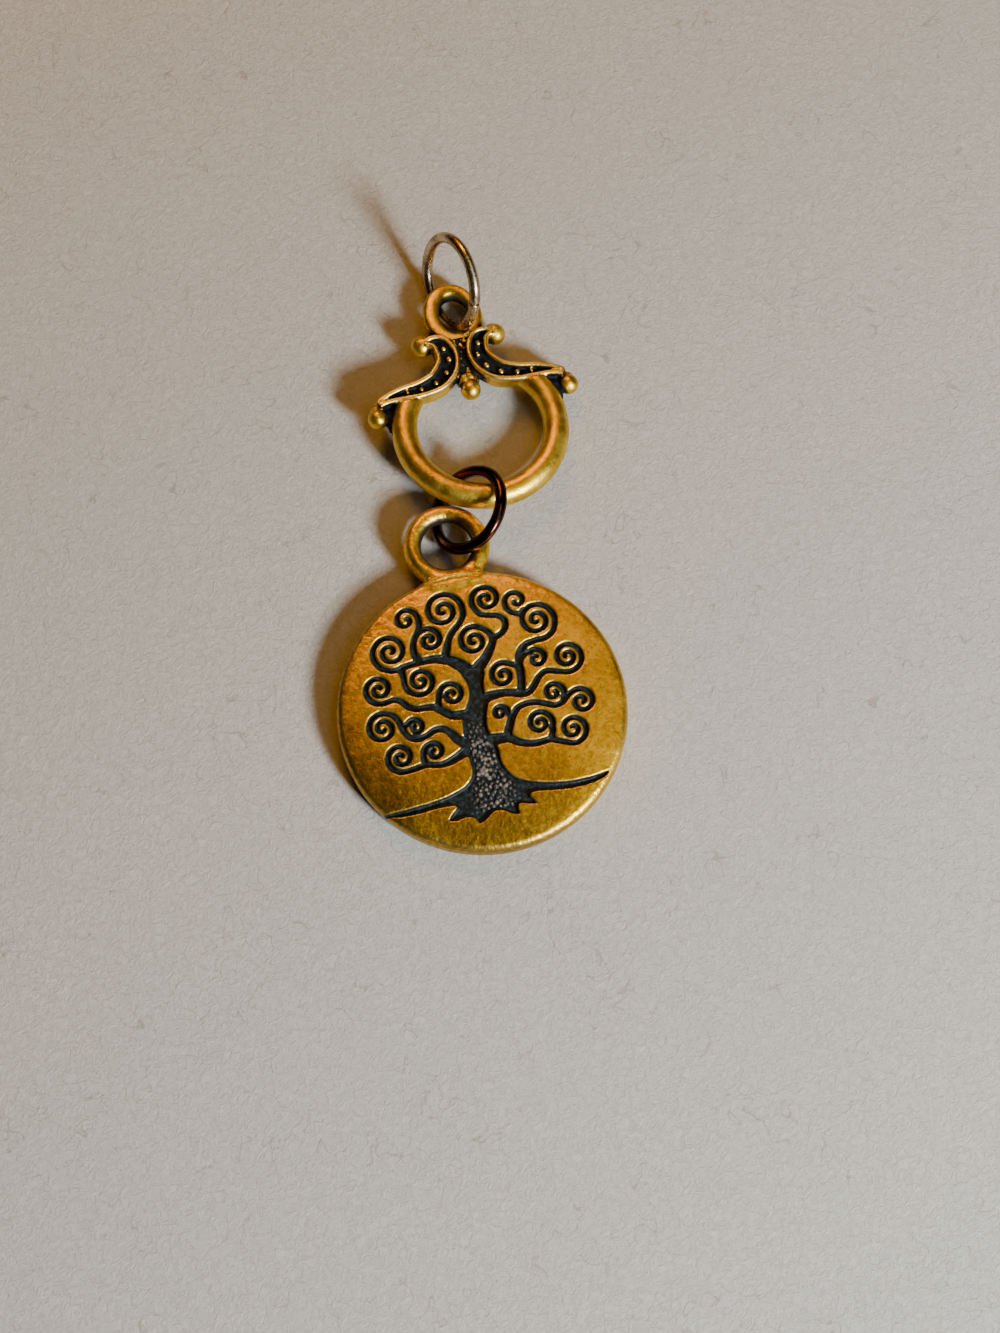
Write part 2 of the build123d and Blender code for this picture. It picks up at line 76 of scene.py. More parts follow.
# The tree: each branch is a stem of (x, y, width) points and a curl, which is its centre's
# x and y, its first radius, its turns, the angle where it starts, and its hand
curl_end_radius = 0.14
curl_step = 30.0
branches = {
    "left_crown": ([(-0.35, 2.6, 0.9), (-0.85, 3.15, 0.8), (-1.5, 3.62, 0.65), (-2.4, 3.87, 0.55),
        (-3.4, 3.87, 0.46), (-4.3, 3.76, 0.4), (-4.85, 3.66, 0.36)], (-5.15, 4.95, 1.3, 1.85, 262, -1)),
    "top_left": ([(-1.72, 3.85, 0.5), (-1.47, 4.4, 0.45), (-1.25, 4.95, 0.4), (-0.9, 5.45, 0.38),
        (-0.4, 5.9, 0.36), (-0.02, 6.35, 0.35)], (-1.2, 7.04, 1.33, 1.8, -15, 1)),
    "left_tip": ([(-3.4, 3.95, 0.5), (-3.6, 4.4, 0.42), (-3.63, 4.9, 0.38), (-3.5, 5.35, 0.36),
        (-3.25, 5.75, 0.35), (-3.0, 6.15, 0.35), (-2.9, 6.5, 0.35)], (-3.74, 6.9, 0.83, 1.2, 0, 1)),
    "left_tip_bud": ([(-3.3, 5.7, 0.36)], (-2.46, 5.24, 0.84, 1.46, 125, -1)),
    "left_hanging": ([(-4.6, 3.75, 0.38), (-4.66, 3.35, 0.36)], (-3.61, 2.6, 1.07, 1.8, 160, 1)),
    "left_middle": ([(-0.6, -0.25, 0.7), (-1.3, -0.2, 0.62), (-2.0, -0.1, 0.55), (-2.55, 0.3, 0.52),
        (-3.0, 0.65, 0.45), (-3.6, 0.75, 0.4), (-4.2, 0.78, 0.38), (-4.7, 1.05, 0.38),
        (-5.1, 1.5, 0.36), (-5.6, 1.68, 0.35)], (-6.36, 2.58, 1.0, 1.7, 278, -1)),
    "left_middle_bud": ([(-2.75, 0.45, 0.42), (-2.75, 0.9, 0.36)], (-1.78, 1.28, 0.87, 1.5, 185, -1)),
    "left_low": ([(-1.2, -2.2, 0.8), (-1.9, -1.85, 0.6), (-2.3, -1.3, 0.48), (-2.75, -0.9, 0.42),
        (-3.3, -0.85, 0.4), (-3.9, -1.1, 0.38), (-4.5, -1.22, 0.38), (-5.05, -0.95, 0.38),
        (-5.35, -0.4, 0.36), (-5.5, 0.2, 0.35), (-5.75, 0.6, 0.35)], (-6.62, -0.06, 1.05, 1.75, 48, 1)),
    "left_low_bud": ([(-5.35, -0.25, 0.34)], (-4.5, -0.4, 0.59, 1.1, 150, -1)),
    "left_lowest": ([(-1.2, -2.5, 0.8), (-1.9, -2.75, 0.6), (-2.6, -3.05, 0.5), (-3.2, -3.18, 0.42),
        (-3.8, -3.13, 0.38), (-4.3, -3.0, 0.38), (-4.9, -3.1, 0.36)],
        (-5.83, -2.2, 1.0, 1.72, 285, -1)),
    "left_lowest_bud": ([(-4.35, -3.0, 0.36), (-4.4, -2.6, 0.34)], (-3.65, -2.26, 0.72, 1.28, 185, -1)),
    "right_crown": ([(-0.1, 2.45, 0.8), (0.35, 2.8, 0.74), (0.75, 3.15, 0.66), (1.1, 3.55, 0.58),
        (1.42, 4.0, 0.5), (1.6, 4.45, 0.42), (1.5, 4.9, 0.38)], (0.37, 4.59, 1.05, 1.62, 40, 1)),
    "top_right": ([(1.6, 4.5, 0.42), (2.15, 4.68, 0.4), (2.58, 5.08, 0.38), (2.63, 5.6, 0.36),
        (2.3, 5.98, 0.35), (1.75, 6.12, 0.35), (1.2, 6.28, 0.35)], (1.75, 7.28, 1.03, 1.7, 215, -1)),
    "right_middle": ([(-0.1, 0.45, 0.9), (0.5, 0.65, 0.65), (1.2, 0.72, 0.55), (1.9, 0.66, 0.5),
        (2.5, 0.48, 0.5), (3.1, 0.42, 0.46), (3.55, 0.75, 0.4), (4.0, 1.28, 0.38), (4.55, 1.6, 0.36),
        (5.2, 1.46, 0.35)], (6.14, 2.32, 1.07, 1.78, 262, 1)),
    "right_upper": ([(2.65, 0.5, 0.5), (2.85, 1.2, 0.48), (2.92, 1.9, 0.48), (2.97, 2.6, 0.46),
        (3.15, 3.2, 0.44), (3.6, 3.65, 0.4), (4.3, 3.8, 0.38), (5.0, 3.85, 0.36), (5.5, 4.12, 0.35)],
        (4.7, 5.19, 1.25, 1.87, -28, 1)),
    "right_upper_tip": ([(4.0, 6.05, 0.36)], (3.66, 6.77, 0.93, 1.22, 275, -1)),
    "right_inner": ([(2.85, 2.35, 0.42)], (1.76, 1.9, 0.9, 1.46, 48, 1)),
    "right_upper_bud": ([(3.1, 2.75, 0.42), (3.4, 3.0, 0.36)], (4.14, 2.57, 0.69, 1.2, 125, -1)),
    "right_low": ([(-0.1, -2.3, 0.9), (0.6, -2.25, 0.7), (1.25, -2.35, 0.55), (1.8, -2.7, 0.48),
        (2.5, -2.98, 0.42), (3.2, -3.02, 0.4), (3.9, -2.97, 0.38), (4.5, -3.22, 0.36)],
        (5.45, -2.55, 0.98, 1.6, 262, 1)),
    "right_low_outer": ([(1.2, -2.2, 0.5), (1.45, -1.6, 0.48), (1.75, -1.0, 0.45), (2.2, -0.5, 0.4),
        (2.8, -0.3, 0.38), (3.4, -0.32, 0.36), (4.0, -0.52, 0.36), (4.6, -0.78, 0.36),
        (5.15, -0.7, 0.35), (5.55, -0.35, 0.35)], (6.41, -0.86, 0.89, 1.5, 125, -1)),
    "right_low_tip": ([(5.25, -0.6, 0.36)], (4.73, 0.08, 0.74, 1.2, -35, 1)),
    "right_low_bud": ([(3.95, -2.85, 0.38), (4.18, -2.4, 0.34)], (3.42, -1.75, 0.89, 1.6, -38, 1)),
    "trunk_hook": ([(1.72, -1.0, 0.34), (1.58, -0.7, 0.32)], (1.05, -0.58, 0.5, 0.95, 15, 1)),
}

# The trunk's outline, anticlockwise from the left end of the ground line, as smooth
# stretches between corners
trunk_outline = [
    [(-7.6, -5.68), (-6.5, -5.68), (-5.2, -5.6), (-4.0, -5.48), (-3.0, -5.25), (-2.2, -4.95),
     (-1.7, -4.55), (-1.47, -4.0), (-1.5, -3.3), (-1.55, -2.6), (-1.55, -1.8), (-1.48, -1.2),
     (-1.4, -0.6), (-1.15, 0.0), (-0.85, 0.5), (-0.66, 0.95), (-0.58, 1.5), (-0.68, 2.0), (-0.9, 2.55),
     (-0.9, 2.9)],
    [(-0.9, 2.9), (-0.45, 3.0), (0.0, 2.72)],
    [(0.0, 2.72), (0.55, 2.4), (0.5, 2.0), (0.36, 1.6), (0.33, 1.05), (0.4, 0.4), (0.22, -0.25),
     (0.05, -0.8), (0.0, -1.3), (0.1, -1.9), (0.4, -2.9), (0.4, -3.4), (0.45, -3.9), (0.68, -4.45),
     (1.05, -4.95), (1.65, -5.3), (2.5, -5.6), (3.5, -5.83), (4.5, -5.95), (5.5, -5.95), (6.5, -5.85),
     (7.1, -5.75)],
    [(7.1, -5.75), (6.9, -6.02), (6.2, -6.25), (5.3, -6.38), (4.4, -6.38), (3.4, -6.28), (2.5, -6.15),
     (2.0, -6.15), (1.75, -6.3), (1.85, -6.55), (2.15, -6.95)],
    [(2.15, -6.95), (1.7, -6.85), (1.2, -6.7), (0.9, -6.8), (0.85, -7.1), (0.9, -7.4)],
    [(0.9, -7.4), (0.5, -7.25), (0.0, -6.97), (-0.45, -6.85), (-0.85, -6.98), (-1.3, -7.3),
     (-1.7, -7.48)],
    [(-1.7, -7.48), (-1.85, -7.2), (-2.05, -6.97), (-2.6, -6.9), (-3.1, -7.0), (-3.6, -6.92)],
    [(-3.6, -6.92), (-3.3, -6.55), (-2.9, -6.2), (-3.1, -5.98), (-4.2, -5.97), (-5.4, -6.05),
     (-6.5, -6.02), (-7.6, -5.84)],
    [(-7.6, -5.84), (-7.6, -5.68)],
]

# The relief's section: heights at distances from the groove's edge, negative inside it
relief_distance = [-0.17, -0.1, -0.05, 0.0, 0.04, 0.08, 0.14]
relief_height = [-0.3, -0.295, -0.26, -0.13, -0.03, -0.006, 0.0]
field_cell = 0.06
field_margin = 0.3
far_away = 2.0
stamp_margin = 0.6
relief_spacing = 0.1
shortest_contour = 12
contour_rounds = 2

# The face's points: spacings, and the room that they leave to the rim and the relief
face_spacing = 0.28
bark_point_spacing = 0.07
row_share = 0.87
shake = 0.2
rim_room = 0.1
relief_room = 0.08
bark_overlap = 0.05
merge_distance = 1e-5
rim_segments = 360
rim_turn_step = 10
rim_side_steps = 7
back_ring_step = 0.4
back_middle = 0.3

# The bark: its grains, where they are strewn, and where they stand out
bark_grain = 0.27
bark_grain_height = 0.12
grain_tries = 6000
grain_inset = 0.24
grain_room = 0.92
grain_shares = (0.38, 0.72)
bark_sides = (-3.0, 2.0)
bark_ends = (-6.7, 2.6)
bark_middle = -0.35
bark_half_width = 1.9
bark_side_fade = 0.8
bark_full = -3.2
bark_none = 0.8
bark_fade_power = 0.7
bark_edge = 0.16
bark_edge_fade = 0.1

# Wear and shade on the charm
face_droop = 0.2
droop_start = 6.4
droop_bottom = 0.4
droop_fade = 1.0
shade_start = 0.045
shade_fade = 0.06
worn_middle = 0.07
worn_reach = 0.035
edge_wear = 0.6
edge_wear_depth = 0.1
edge_wear_reach = 0.12
# Painted shade: the casting's gold is browned towards the foot of the tree and the left rim
shade_slope = (0.4, 0.85)
shade_lean_start = 0.4
shade_right = 7.0
shade_right_fade = 4
shade_rim = 8.4
shade_rim_fade = 0.7
shade_rim_right = 0.2

# The disc's loop, whose left wall is the deepest, and its cast fillet
bail_blend = 0.6
blend_depth = 0.15
blend_rounds = 4
blend_probe = 0.001
least_slope = 0.05
bail_depth = 0.8
bail_deep_angle = 190.0
side_spread = 0.3

# Ripples: how deep each one is, the size of its swells, and its seed
groove_ripple = (0.022, 0.45, 9)
face_ripple = (0.012, 2.5, 1)
rim_ripple = (0.02, 2.2, 2)
rim_fine_ripple = (0.006, 0.7, 3)
rim_ripple_start = 9.0
rim_ripple_fade = 0.5
back_ripple = (0.012, 1.6, 6)
back_ripple_top = 0.01
bail_ripple = (0.012, 0.8, 7)
link_ripple = (0.014, 1.2, 11)
link_fine_ripple = (0.005, 0.35, 12)
wire_ripple = (0.006, 1.1, 21)
ripple_shift = (17.3, 5.1, 9.7)

# The jump rings' wire
ring_gap = 0.03
cut_end = 0.9

# The scroll link: shares of its ring's centre line radius, as (x, y, width) points
scroll = [
    (0.46, 1.32, 0.12), (0.37, 1.33, 0.19), (0.27, 1.28, 0.27), (0.212, 1.14, 0.31),
    (0.212, 1.01, 0.325), (0.257, 0.9, 0.34), (0.33, 0.81, 0.34), (0.444, 0.725, 0.32),
    (0.67, 0.662, 0.275), (0.878, 0.643, 0.237), (1.06, 0.615, 0.185), (1.19, 0.575, 0.145),
    (1.25, 0.53, 0.115)]
granule_places = [(0.235, 1.2), (0.195, 1.03), (0.27, 0.84), (0.44, 0.71), (0.65, 0.66), (0.84, 0.645)]
end_web = [(1.03, 0.6, 0.2), (1.1, 0.42, 0.2), (1.11, 0.2, 0.14)]
end_ball_place = (1.293, 0.396)
upper_ball_place = (0.502, 1.342)
low_ball_place = 0.575
ring_end_angle = 40.0
end_ball_radius = 0.69
upper_ball_radius = 0.75
low_ball_radius = 0.7
scroll_middle = -0.165
scroll_half_height = 0.548
rib_half_width = 0.2
rib_half_height = 0.3
rib_middle = 0.48
granule_radius = 0.22
granule_share = 0.75
granule_height = 0.46
web_middle = -0.14
web_half_height = 0.39
middle_web_half_width = 0.777
channel_floor = 0.383
collar_lumps = [(-0.26, 3.78, 0.45), (0.12, 3.9, 0.36), (-0.5, 3.98, 0.3)]
collar_height = 0.1
necks = [(2.52, 7.22, 0.56), (6.68, 2.5, 0.5)]
middle_web_ends = (3.5, 6.85)
web_grains = 26
web_grain_radius = 0.11
web_grain_shares = (0.8, 1.3)
web_grain_across = 0.55
web_grain_along = (4.2, 7.0)
granule_shares = (0.9, 1.15)
scroll_inset = 0.02
tube_inset = 0.1
web_spacing = 0.1

# Shade on the link, and on the walls of both loops' holes
web_shade_height = 0.09
web_shade_fade = 0.06
middle_shade_ends = (4.1, 7.0)
middle_shade_half_width = 0.75
end_shade_reach = 0.62
web_edge_fade = 0.1
inner_start = 0.45
inner_fade = 0.35
low_start = 0.12
low_fade = 0.2
hollow_reach = 1.1
hollow_rays = 20
ray_lift = 0.02
channel_fade = 0.06
channel_spread = 0.3
channel_top = 0.16
channel_top_fade = 0.08
crest_fade = 0.05
crest_height = 0.45
crest_height_fade = 0.2

# The fewest stretches that a line is divided into
fewest_steps = 3

# Colours as red, green and blue. A pair holds the two ends of a mottled tone
charm_gold = ((0.76, 0.415, 0.016), (0.90, 0.52, 0.03))
charm_grit = (0.40, 0.19, 0.012)
charm_glint = (0.90, 0.57, 0.10)
charm_pit = (0.08, 0.03, 0.006)
# The brown of the painted shade towards the charm's lower left
charm_shade_brown = (0.27, 0.15, 0.014)
charm_worn = (0.95, 0.68, 0.26)
charm_oxide = (0.10, 0.115, 0.11)
charm_dark = ((0.0015, 0.003, 0.0035), (0.014, 0.024, 0.027))
bark_tan = ((0.02, 0.02, 0.02), (0.2, 0.15, 0.11))
link_gold = ((0.66, 0.385, 0.028), (0.82, 0.545, 0.07))
link_grit = (0.42, 0.22, 0.016)
link_crest = (0.78, 0.58, 0.24)
link_oxide = (0.09, 0.105, 0.10)
link_brown = (0.18, 0.08, 0.012)
link_dark = ((0.001, 0.002, 0.003), (0.007, 0.012, 0.015))
dark_wire = ((0.035, 0.012, 0.008), (0.10, 0.034, 0.022))
bright_wire = ((0.29, 0.185, 0.09), (0.60, 0.475, 0.31))
floor_fibre = ((0.42, 0.37, 0.31), (0.56, 0.50, 0.43))
floor_patch = (0.48, 0.44, 0.39)
floor_thread = (0.25, 0.18, 0.12)

# Roughness, at the two ends of its noise
gold_roughness = (0.34, 0.46)
dark_wire_roughness = (0.14, 0.26)
bright_wire_roughness = (0.24, 0.4)

# Relief in the finishes, as (size, detail, depth) of its spots
charm_bumps = [(0.16, 3.0, 0.02), (0.5, 3.0, 0.06)]
link_bumps = [(0.16, 3.0, 0.024), (0.9, 2.0, 0.04)]
wire_bumps = [(0.18, 3.0, 0.006)]

# Lights: azimuth, elevation and distance from the view's target, then size, power and tint
lights = {
    "key": (45, 32, 260, 50, 1.68, (0.80, 0.91, 1.0)),
    "fill": (-166, 44, 300, 110, 0.37, (1.0, 0.46, 0.02)),
    "top": (118, 73, 300, 60, 0.05, (1.0, 0.84, 0.35)),
    "near": (62, 60, 300, 120, 0.06, (0.92, 0.95, 1.0)),
}
floor_reach = 1500.0

# View: it looks along +Y and down
view_target = (1.1508, -8.6205, 0.0)
view_elevation = 71.0
view_distance = 132.7


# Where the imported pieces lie

def read(items, name, width):
    """One property of a mesh's points or faces, a row for each."""
    values = np.empty(len(items) * width)
    items.foreach_get(name, values)
    return values.reshape(-1, width)


def facing(normals, areas):
    """The direction that a skin faces most, turned upward."""
    way = np.linalg.eigh(normals.T @ (normals * areas))[1][:, 2]
    return way * np.sign(way[2])


def lying(node, reach, loop=None):
    """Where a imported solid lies: its middle, and the directions to its right and up.

    Its near half is round, with that reach, and faces up more than any other way. A casting's
    loop, given by its shift to the right and its reach, shows which way is far. A plain ring's
    right is level.
    """
    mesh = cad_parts[node].data
    corners = read(mesh.vertices, "co", 3) / METRES
    middles = read(mesh.polygons, "center", 3) / METRES
    normals = read(mesh.polygons, "normal", 3)
    areas = read(mesh.polygons, "area", 1)
    near = np.ones(len(middles), dtype=bool)
    right = np.array([1.0, 0.0, 0.0])
    for _ in range(placing_rounds):
        up = facing(normals[near], areas[near])
        right = np.cross((0, 0, 1), up) if loop is None else right - up * (right @ up)
        right /= np.linalg.norm(right)
        axes = np.array([right, np.cross(up, right), up])
        places = corners @ axes.T
        height = places[:, 1].min() + reach
        half = places[places[:, 1] < height]
        middle = (half.min(axis=0) + half.max(axis=0)) / 2
        middle[1] = height
        offsets = middles @ axes.T - middle
        near = offsets[:, 1] < 0
        if loop is not None:
            shift, loop_distance = loop
            beyond = np.hypot(offsets[:, 0], offsets[:, 1]) > loop_distance
            x, y, _ = np.average(offsets[beyond], axis=0, weights=areas[beyond, 0])
            turn = math.asin(shift / math.hypot(x, y)) - math.atan2(x, y)
            right = math.cos(turn) * axes[0] + math.sin(turn) * axes[1]
    return middle @ axes, right, up


# Meshes

def added(name, data):
    """A new object in the scene."""
    made = bpy.data.objects.new(name, data)
    bpy.context.scene.collection.objects.link(made)
    return made


def finish_piece(name, points, faces, place, marks, node, material):
    """A smooth piece in the row frame, which stands for a node and has named marks per point."""
    origin, right, up = place
    axes = np.array([right, np.cross(up, right), up])
    placed = (origin + np.asarray(points, dtype=float) @ axes) * METRES
    mesh = bpy.data.meshes.new(name)
    mesh.from_pydata(placed.tolist(), [], faces)
    mesh.validate()
    mesh.shade_smooth()
    for mark, values in marks.items():
        attribute = mesh.attributes.new(mark, "FLOAT", "POINT")
        attribute.data.foreach_set("value", np.asarray(values, dtype=np.float32))
    mesh.materials.append(material)
    piece = added(name, mesh)
    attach(piece, "root")
    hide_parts(node)


def smooth_line(points, spacing, steps=16):
    """Points at an even spacing on a smooth line through the given ones, whatever their columns."""
    points = np.asarray(points, dtype=float)
    padded = np.vstack([2 * points[0] - points[1], points, 2 * points[-1] - points[-2]])
    shares = np.linspace(0, 1, steps, endpoint=False)[:, None]
    stretches = []
    for before, start, end, after in zip(padded, padded[1:], padded[2:], padded[3:]):
        stretches.append(0.5 * (2 * start + (end - before) * shares
                                + (2 * before - 5 * start + 4 * end - after) * shares ** 2
                                + (3 * start - before - 3 * end + after) * shares ** 3))
    fine = np.vstack(stretches + [padded[-2][None]])
    return even_line(fine, spacing)


def even_line(points, spacing, closed=False):
    """The same line with its points moved to an even spacing, in the first two columns."""
    if closed:
        points = np.vstack([points, points[:1]])
    steps = np.linalg.norm(np.diff(points[:, :2], axis=0), axis=1)
    along = np.concatenate([[0], np.cumsum(steps)])
    count = max(int(round(along[-1] / spacing)), fewest_steps)
    wanted = np.linspace(0, along[-1], count + 1)[:count if closed else count + 1]
    return np.stack([np.interp(wanted, along, column) for column in points.T], axis=1)


def sweep(line, half_width, half_height, sides=16, roundness=2.0, closed=False):
    """Points and faces of a bar along a flat line, with rounded box-shaped sections."""
    line = np.asarray(line, dtype=float)
    count = len(line)
    if closed:
        along = np.roll(line, -1, axis=0) - np.roll(line, 1, axis=0)
    else:
        along = np.gradient(line, axis=0)
    along[:, 2] = 0
    along /= np.linalg.norm(along, axis=1)[:, None]
    outward = np.stack([along[:, 1], -along[:, 0], np.zeros(count)], axis=1)
    angles = np.arange(sides) * 2 * math.pi / sides
    waves = np.cos(angles), np.sin(angles)
    wide, high = (np.sign(wave) * np.abs(wave) ** (2 / roundness) for wave in waves)
    half_width = np.broadcast_to(half_width, count)[:, None, None]
    half_height = np.broadcast_to(half_height, count)[:, None, None]
    up = np.array([0.0, 0.0, 1.0])
    points = (line[:, None, :] + outward[:, None, :] * wide[None, :, None] * half_width
              + up * high[None, :, None] * half_height).reshape(-1, 3)
    faces = []
    for ring in range(count if closed else count - 1):
        start, end = ring * sides, (ring + 1) % count * sides
        for side in range(sides):
            after = (side + 1) % sides
            faces.append((start + side, start + after, end + after, end + side))
    if not closed:
        faces.append(tuple(reversed(range(sides))))
        faces.append(tuple(range((count - 1) * sides, count * sides)))
    return points, faces


def arc(radius, start, end, step):
    """A level arc about the origin, as points."""
    count = max(int(abs(end - start) / step), fewest_steps)
    angles = np.radians(np.linspace(start, end, count + 1))
    return np.column_stack([radius * np.cos(angles), radius * np.sin(angles), np.zeros(count + 1)])


def ball(centre, radius):
    """Points and faces of a ball."""
    shape = bmesh.new()
    bmesh.ops.create_icosphere(shape, subdivisions=4, radius=radius, matrix=Matrix.Translation(centre))
    points = [tuple(vert.co) for vert in shape.verts]
    faces = [tuple(vert.index for vert in face.verts) for face in shape.faces]
    shape.free()
    return points, faces


def joined(parts):
    """Several sets of points and faces as one."""
    points, faces = [], []
    for some_points, some_faces in parts:
        offset = len(points)
        points += [tuple(point) for point in some_points]
        faces += [tuple(index + offset for index in face) for face in some_faces]
    return points, faces


def fused(parts, voxel, softening):
    """One closed skin over overlapping parts, softened as a casting is."""
    points, faces = joined(parts)
    mesh = bpy.data.meshes.new("fused")
    mesh.from_pydata(points, [], faces)
    source = added("fused", mesh)
    remesh = source.modifiers.new("skin", "REMESH")
    remesh.mode = "VOXEL"
    remesh.voxel_size = voxel
    smooth = source.modifiers.new("soft", "SMOOTH")
    smooth.factor = 0.5
    smooth.iterations = softening
    made = source.evaluated_get(bpy.context.evaluated_depsgraph_get()).to_mesh()
    new_points, normals = read(made.vertices, "co", 3), read(made.vertices, "normal", 3)
    new_faces = [tuple(polygon.vertices) for polygon in made.polygons]
    bpy.data.objects.remove(source)
    bpy.data.meshes.remove(mesh)
    return new_points, new_faces, normals


def shut_in(points, faces, normals, reach, rays):
    """How far each point is shut in by what stands around it, from 0 to 1."""
    tree = BVHTree.FromPolygons([tuple(point) for point in points], faces)
    spiral = []
    for ray in range(rays):
        rise = math.sqrt(1 - (ray + 0.5) / rays)
        turn = ray * math.pi * (3 - math.sqrt(5))
        spread = math.sqrt(1 - rise * rise)
        spiral.append(Vector((spread * math.cos(turn), spread * math.sin(turn), rise)))
    shares = np.zeros(len(points))
    for index, (point, normal) in enumerate(zip(points, normals)):
        normal = Vector(normal)
        turn = Vector((0, 0, 1)).rotation_difference(normal)
        start = Vector(point) + normal * ray_lift
        stopped = 0
        for way in spiral:
            if tree.ray_cast(start, turn @ way, reach)[0] is not None:
                stopped += 1
        shares[index] = stopped / rays
    return shares


def away_from(points, line):
    """The distances, seen from above, from each point to each point of a line."""
    return np.linalg.norm(points[:, None, :2] - line[None, :, :2], axis=2)


def ripple(points, depth, swell, seed):
    """Smooth noise at each point, from about minus a depth to plus it, with swells of a size."""
    shift = Vector([seed * step for step in ripple_shift])
    return depth * np.array([noise.noise(Vector(point) / swell + shift) for point in points])


def ramp(value, length):
    """A value as a share of a length, held between 0 and 1."""
    return np.clip(value / length, 0, 1)


def one_side(turn):
    """1 at one side of a loop and 0 at the other, from the angle to that side's middle."""
    return np.clip(np.cos(turn) + side_spread, 0, 1)


# The tree's field: the distance from each place to the grooves' edge, negative inside

class Field:
    """Values on a square grid over the disc's face."""

    def __init__(self, reach, cell):
        self.cell = cell
        self.start = -reach
        self.side = np.arange(-reach, reach + cell, cell)
        self.values = np.full((len(self.side), len(self.side)), far_away)

    def stamp(self, x, y, radius):
        """Brings a round spot into the grooves."""
        reach = radius + stamp_margin
        low_x, high_x = self.cells(x - reach), self.cells(x + reach)
        low_y, high_y = self.cells(y - reach), self.cells(y + reach)
        away = np.hypot(self.side[low_x:high_x, None] - x, self.side[None, low_y:high_y] - y) - radius
        part = self.values[low_x:high_x, low_y:high_y]
        np.minimum(part, away, out=part)

    def cells(self, where):
        """The number of the grid's line at a place."""
        return int(np.clip((where - self.start) / self.cell, 0, len(self.side)))

    def at(self, points):
        """The value at each point, between the grid's."""
        place = (np.asarray(points)[:, :2] - self.start) / self.cell
        low = np.clip(place.astype(int), 0, len(self.side) - 2)
        share = place - low
        x, y = low.T
        across, along = share.T
        grid = self.values
        return ((grid[x, y] * (1 - across) + grid[x + 1, y] * across) * (1 - along)
                + (grid[x, y + 1] * (1 - across) + grid[x + 1, y + 1] * across) * along)

    def soften(self, rounds):
        """Evens the values out with their neighbours'."""
        for _ in range(rounds):
            for axis in (0, 1):
                ahead, behind = np.roll(self.values, 1, axis), np.roll(self.values, -1, axis)
                self.values = 0.5 * self.values + 0.25 * (ahead + behind)


def branch_points(stem, curl):
    """A stem's points, and then its curl's, which wind inward at an even rate."""
    centre_x, centre_y, first_radius, turns, first_angle, hand = curl
    points = list(stem)
    steps = round(360 * turns / curl_step)
    for step in range(steps + 1):
        share = step / steps
        radius = first_radius + (curl_end_radius - first_radius) * share
        angle = math.radians(first_angle + hand * 360 * turns * share)
        width = groove_width + (groove_tip_width - groove_width) * share
        points.append((centre_x + radius * math.cos(angle), centre_y + radius * math.sin(angle), width))
    return points


def trunk_line():
    """The trunk's outline as one closed line."""
    return np.vstack([smooth_line(stretch, spacing=0.08)[:-1] for stretch in trunk_outline])


def distance_to(outline, points):
    """Signed distances to a closed line, negative inside it."""
    starts, ends = outline, np.roll(outline, -1, axis=0)
    nearest = np.full(len(points), 1e9)
    inside = np.zeros(len(points), dtype=bool)
    for start, end in zip(starts, ends):
        side = end - start
        offset = points - start
        share = np.clip(offset @ side / max(side @ side, 1e-12), 0, 1)
        nearest = np.minimum(nearest, np.linalg.norm(offset - share[:, None] * side, axis=1))
        if start[1] != end[1]:
            crosses = (start[1] > points[:, 1]) != (end[1] > points[:, 1])
            at_x = start[0] + (points[:, 1] - start[1]) * side[0] / side[1]
            inside ^= crosses & (points[:, 0] < at_x)
    return np.where(inside, -nearest, nearest)


def tree_fields():
    """The field of the whole tree, and that of the trunk alone."""
    tree = Field(disc_radius + field_margin, field_cell)
    for stem, curl in branches.values():
        for x, y, width in smooth_line(branch_points(stem, curl), spacing=0.04):
            tree.stamp(x, y, width / 2)
    trunk = Field(disc_radius + field_margin, field_cell)
    across, along = np.meshgrid(trunk.side, trunk.side, indexing="ij")
    places = np.stack([across.ravel(), along.ravel()], axis=1)
    trunk.values = distance_to(trunk_line(), places).reshape(across.shape)
    tree.values = np.minimum(tree.values, trunk.values)
    tree.soften(1)
    flat = np.column_stack([places, np.zeros(len(places))])
    tree.values += ripple(flat, *groove_ripple).reshape(across.shape)
    return tree, trunk


def contours(field, level):
    """Closed lines along which a field's values cross a level."""
    grid = field.values
    inside = grid < level
    mixed = np.zeros_like(inside)
    corners_in = inside[:-1, :-1].astype(int) + inside[1:, :-1] + inside[1:, 1:] + inside[:-1, 1:]
    mixed[:-1, :-1] = (corners_in > 0) & (corners_in < 4)
    follow = {}
    for x, y in zip(*np.nonzero(mixed)):
        corners = ((x, y), (x + 1, y), (x + 1, y + 1), (x, y + 1))
        states = [bool(inside[corner]) for corner in corners]
        for corner in range(4):
            after = (corner + 1) % 4
            if states[corner] and not states[after]:
                back = corner
                while states[back]:
                    back -= 1
                leaves = tuple(sorted((corners[corner], corners[after])))
                enters = tuple(sorted((corners[back], corners[(back + 1) % 4])))
                follow[leaves] = enters
    lines = []
    while follow:
        first, place = follow.popitem()
        chain = [first]
        while place in follow:
            chain.append(place)
            place = follow.pop(place)
        ends = np.array(chain)
        low, high = ends[:, 0], ends[:, 1]
        value_low, value_high = grid[low[:, 0], low[:, 1]], grid[high[:, 0], high[:, 1]]
        share = ((level - value_low) / (value_high - value_low))[:, None]
        lines.append(field.start + field.cell * (low + (high - low) * share))
    return lines


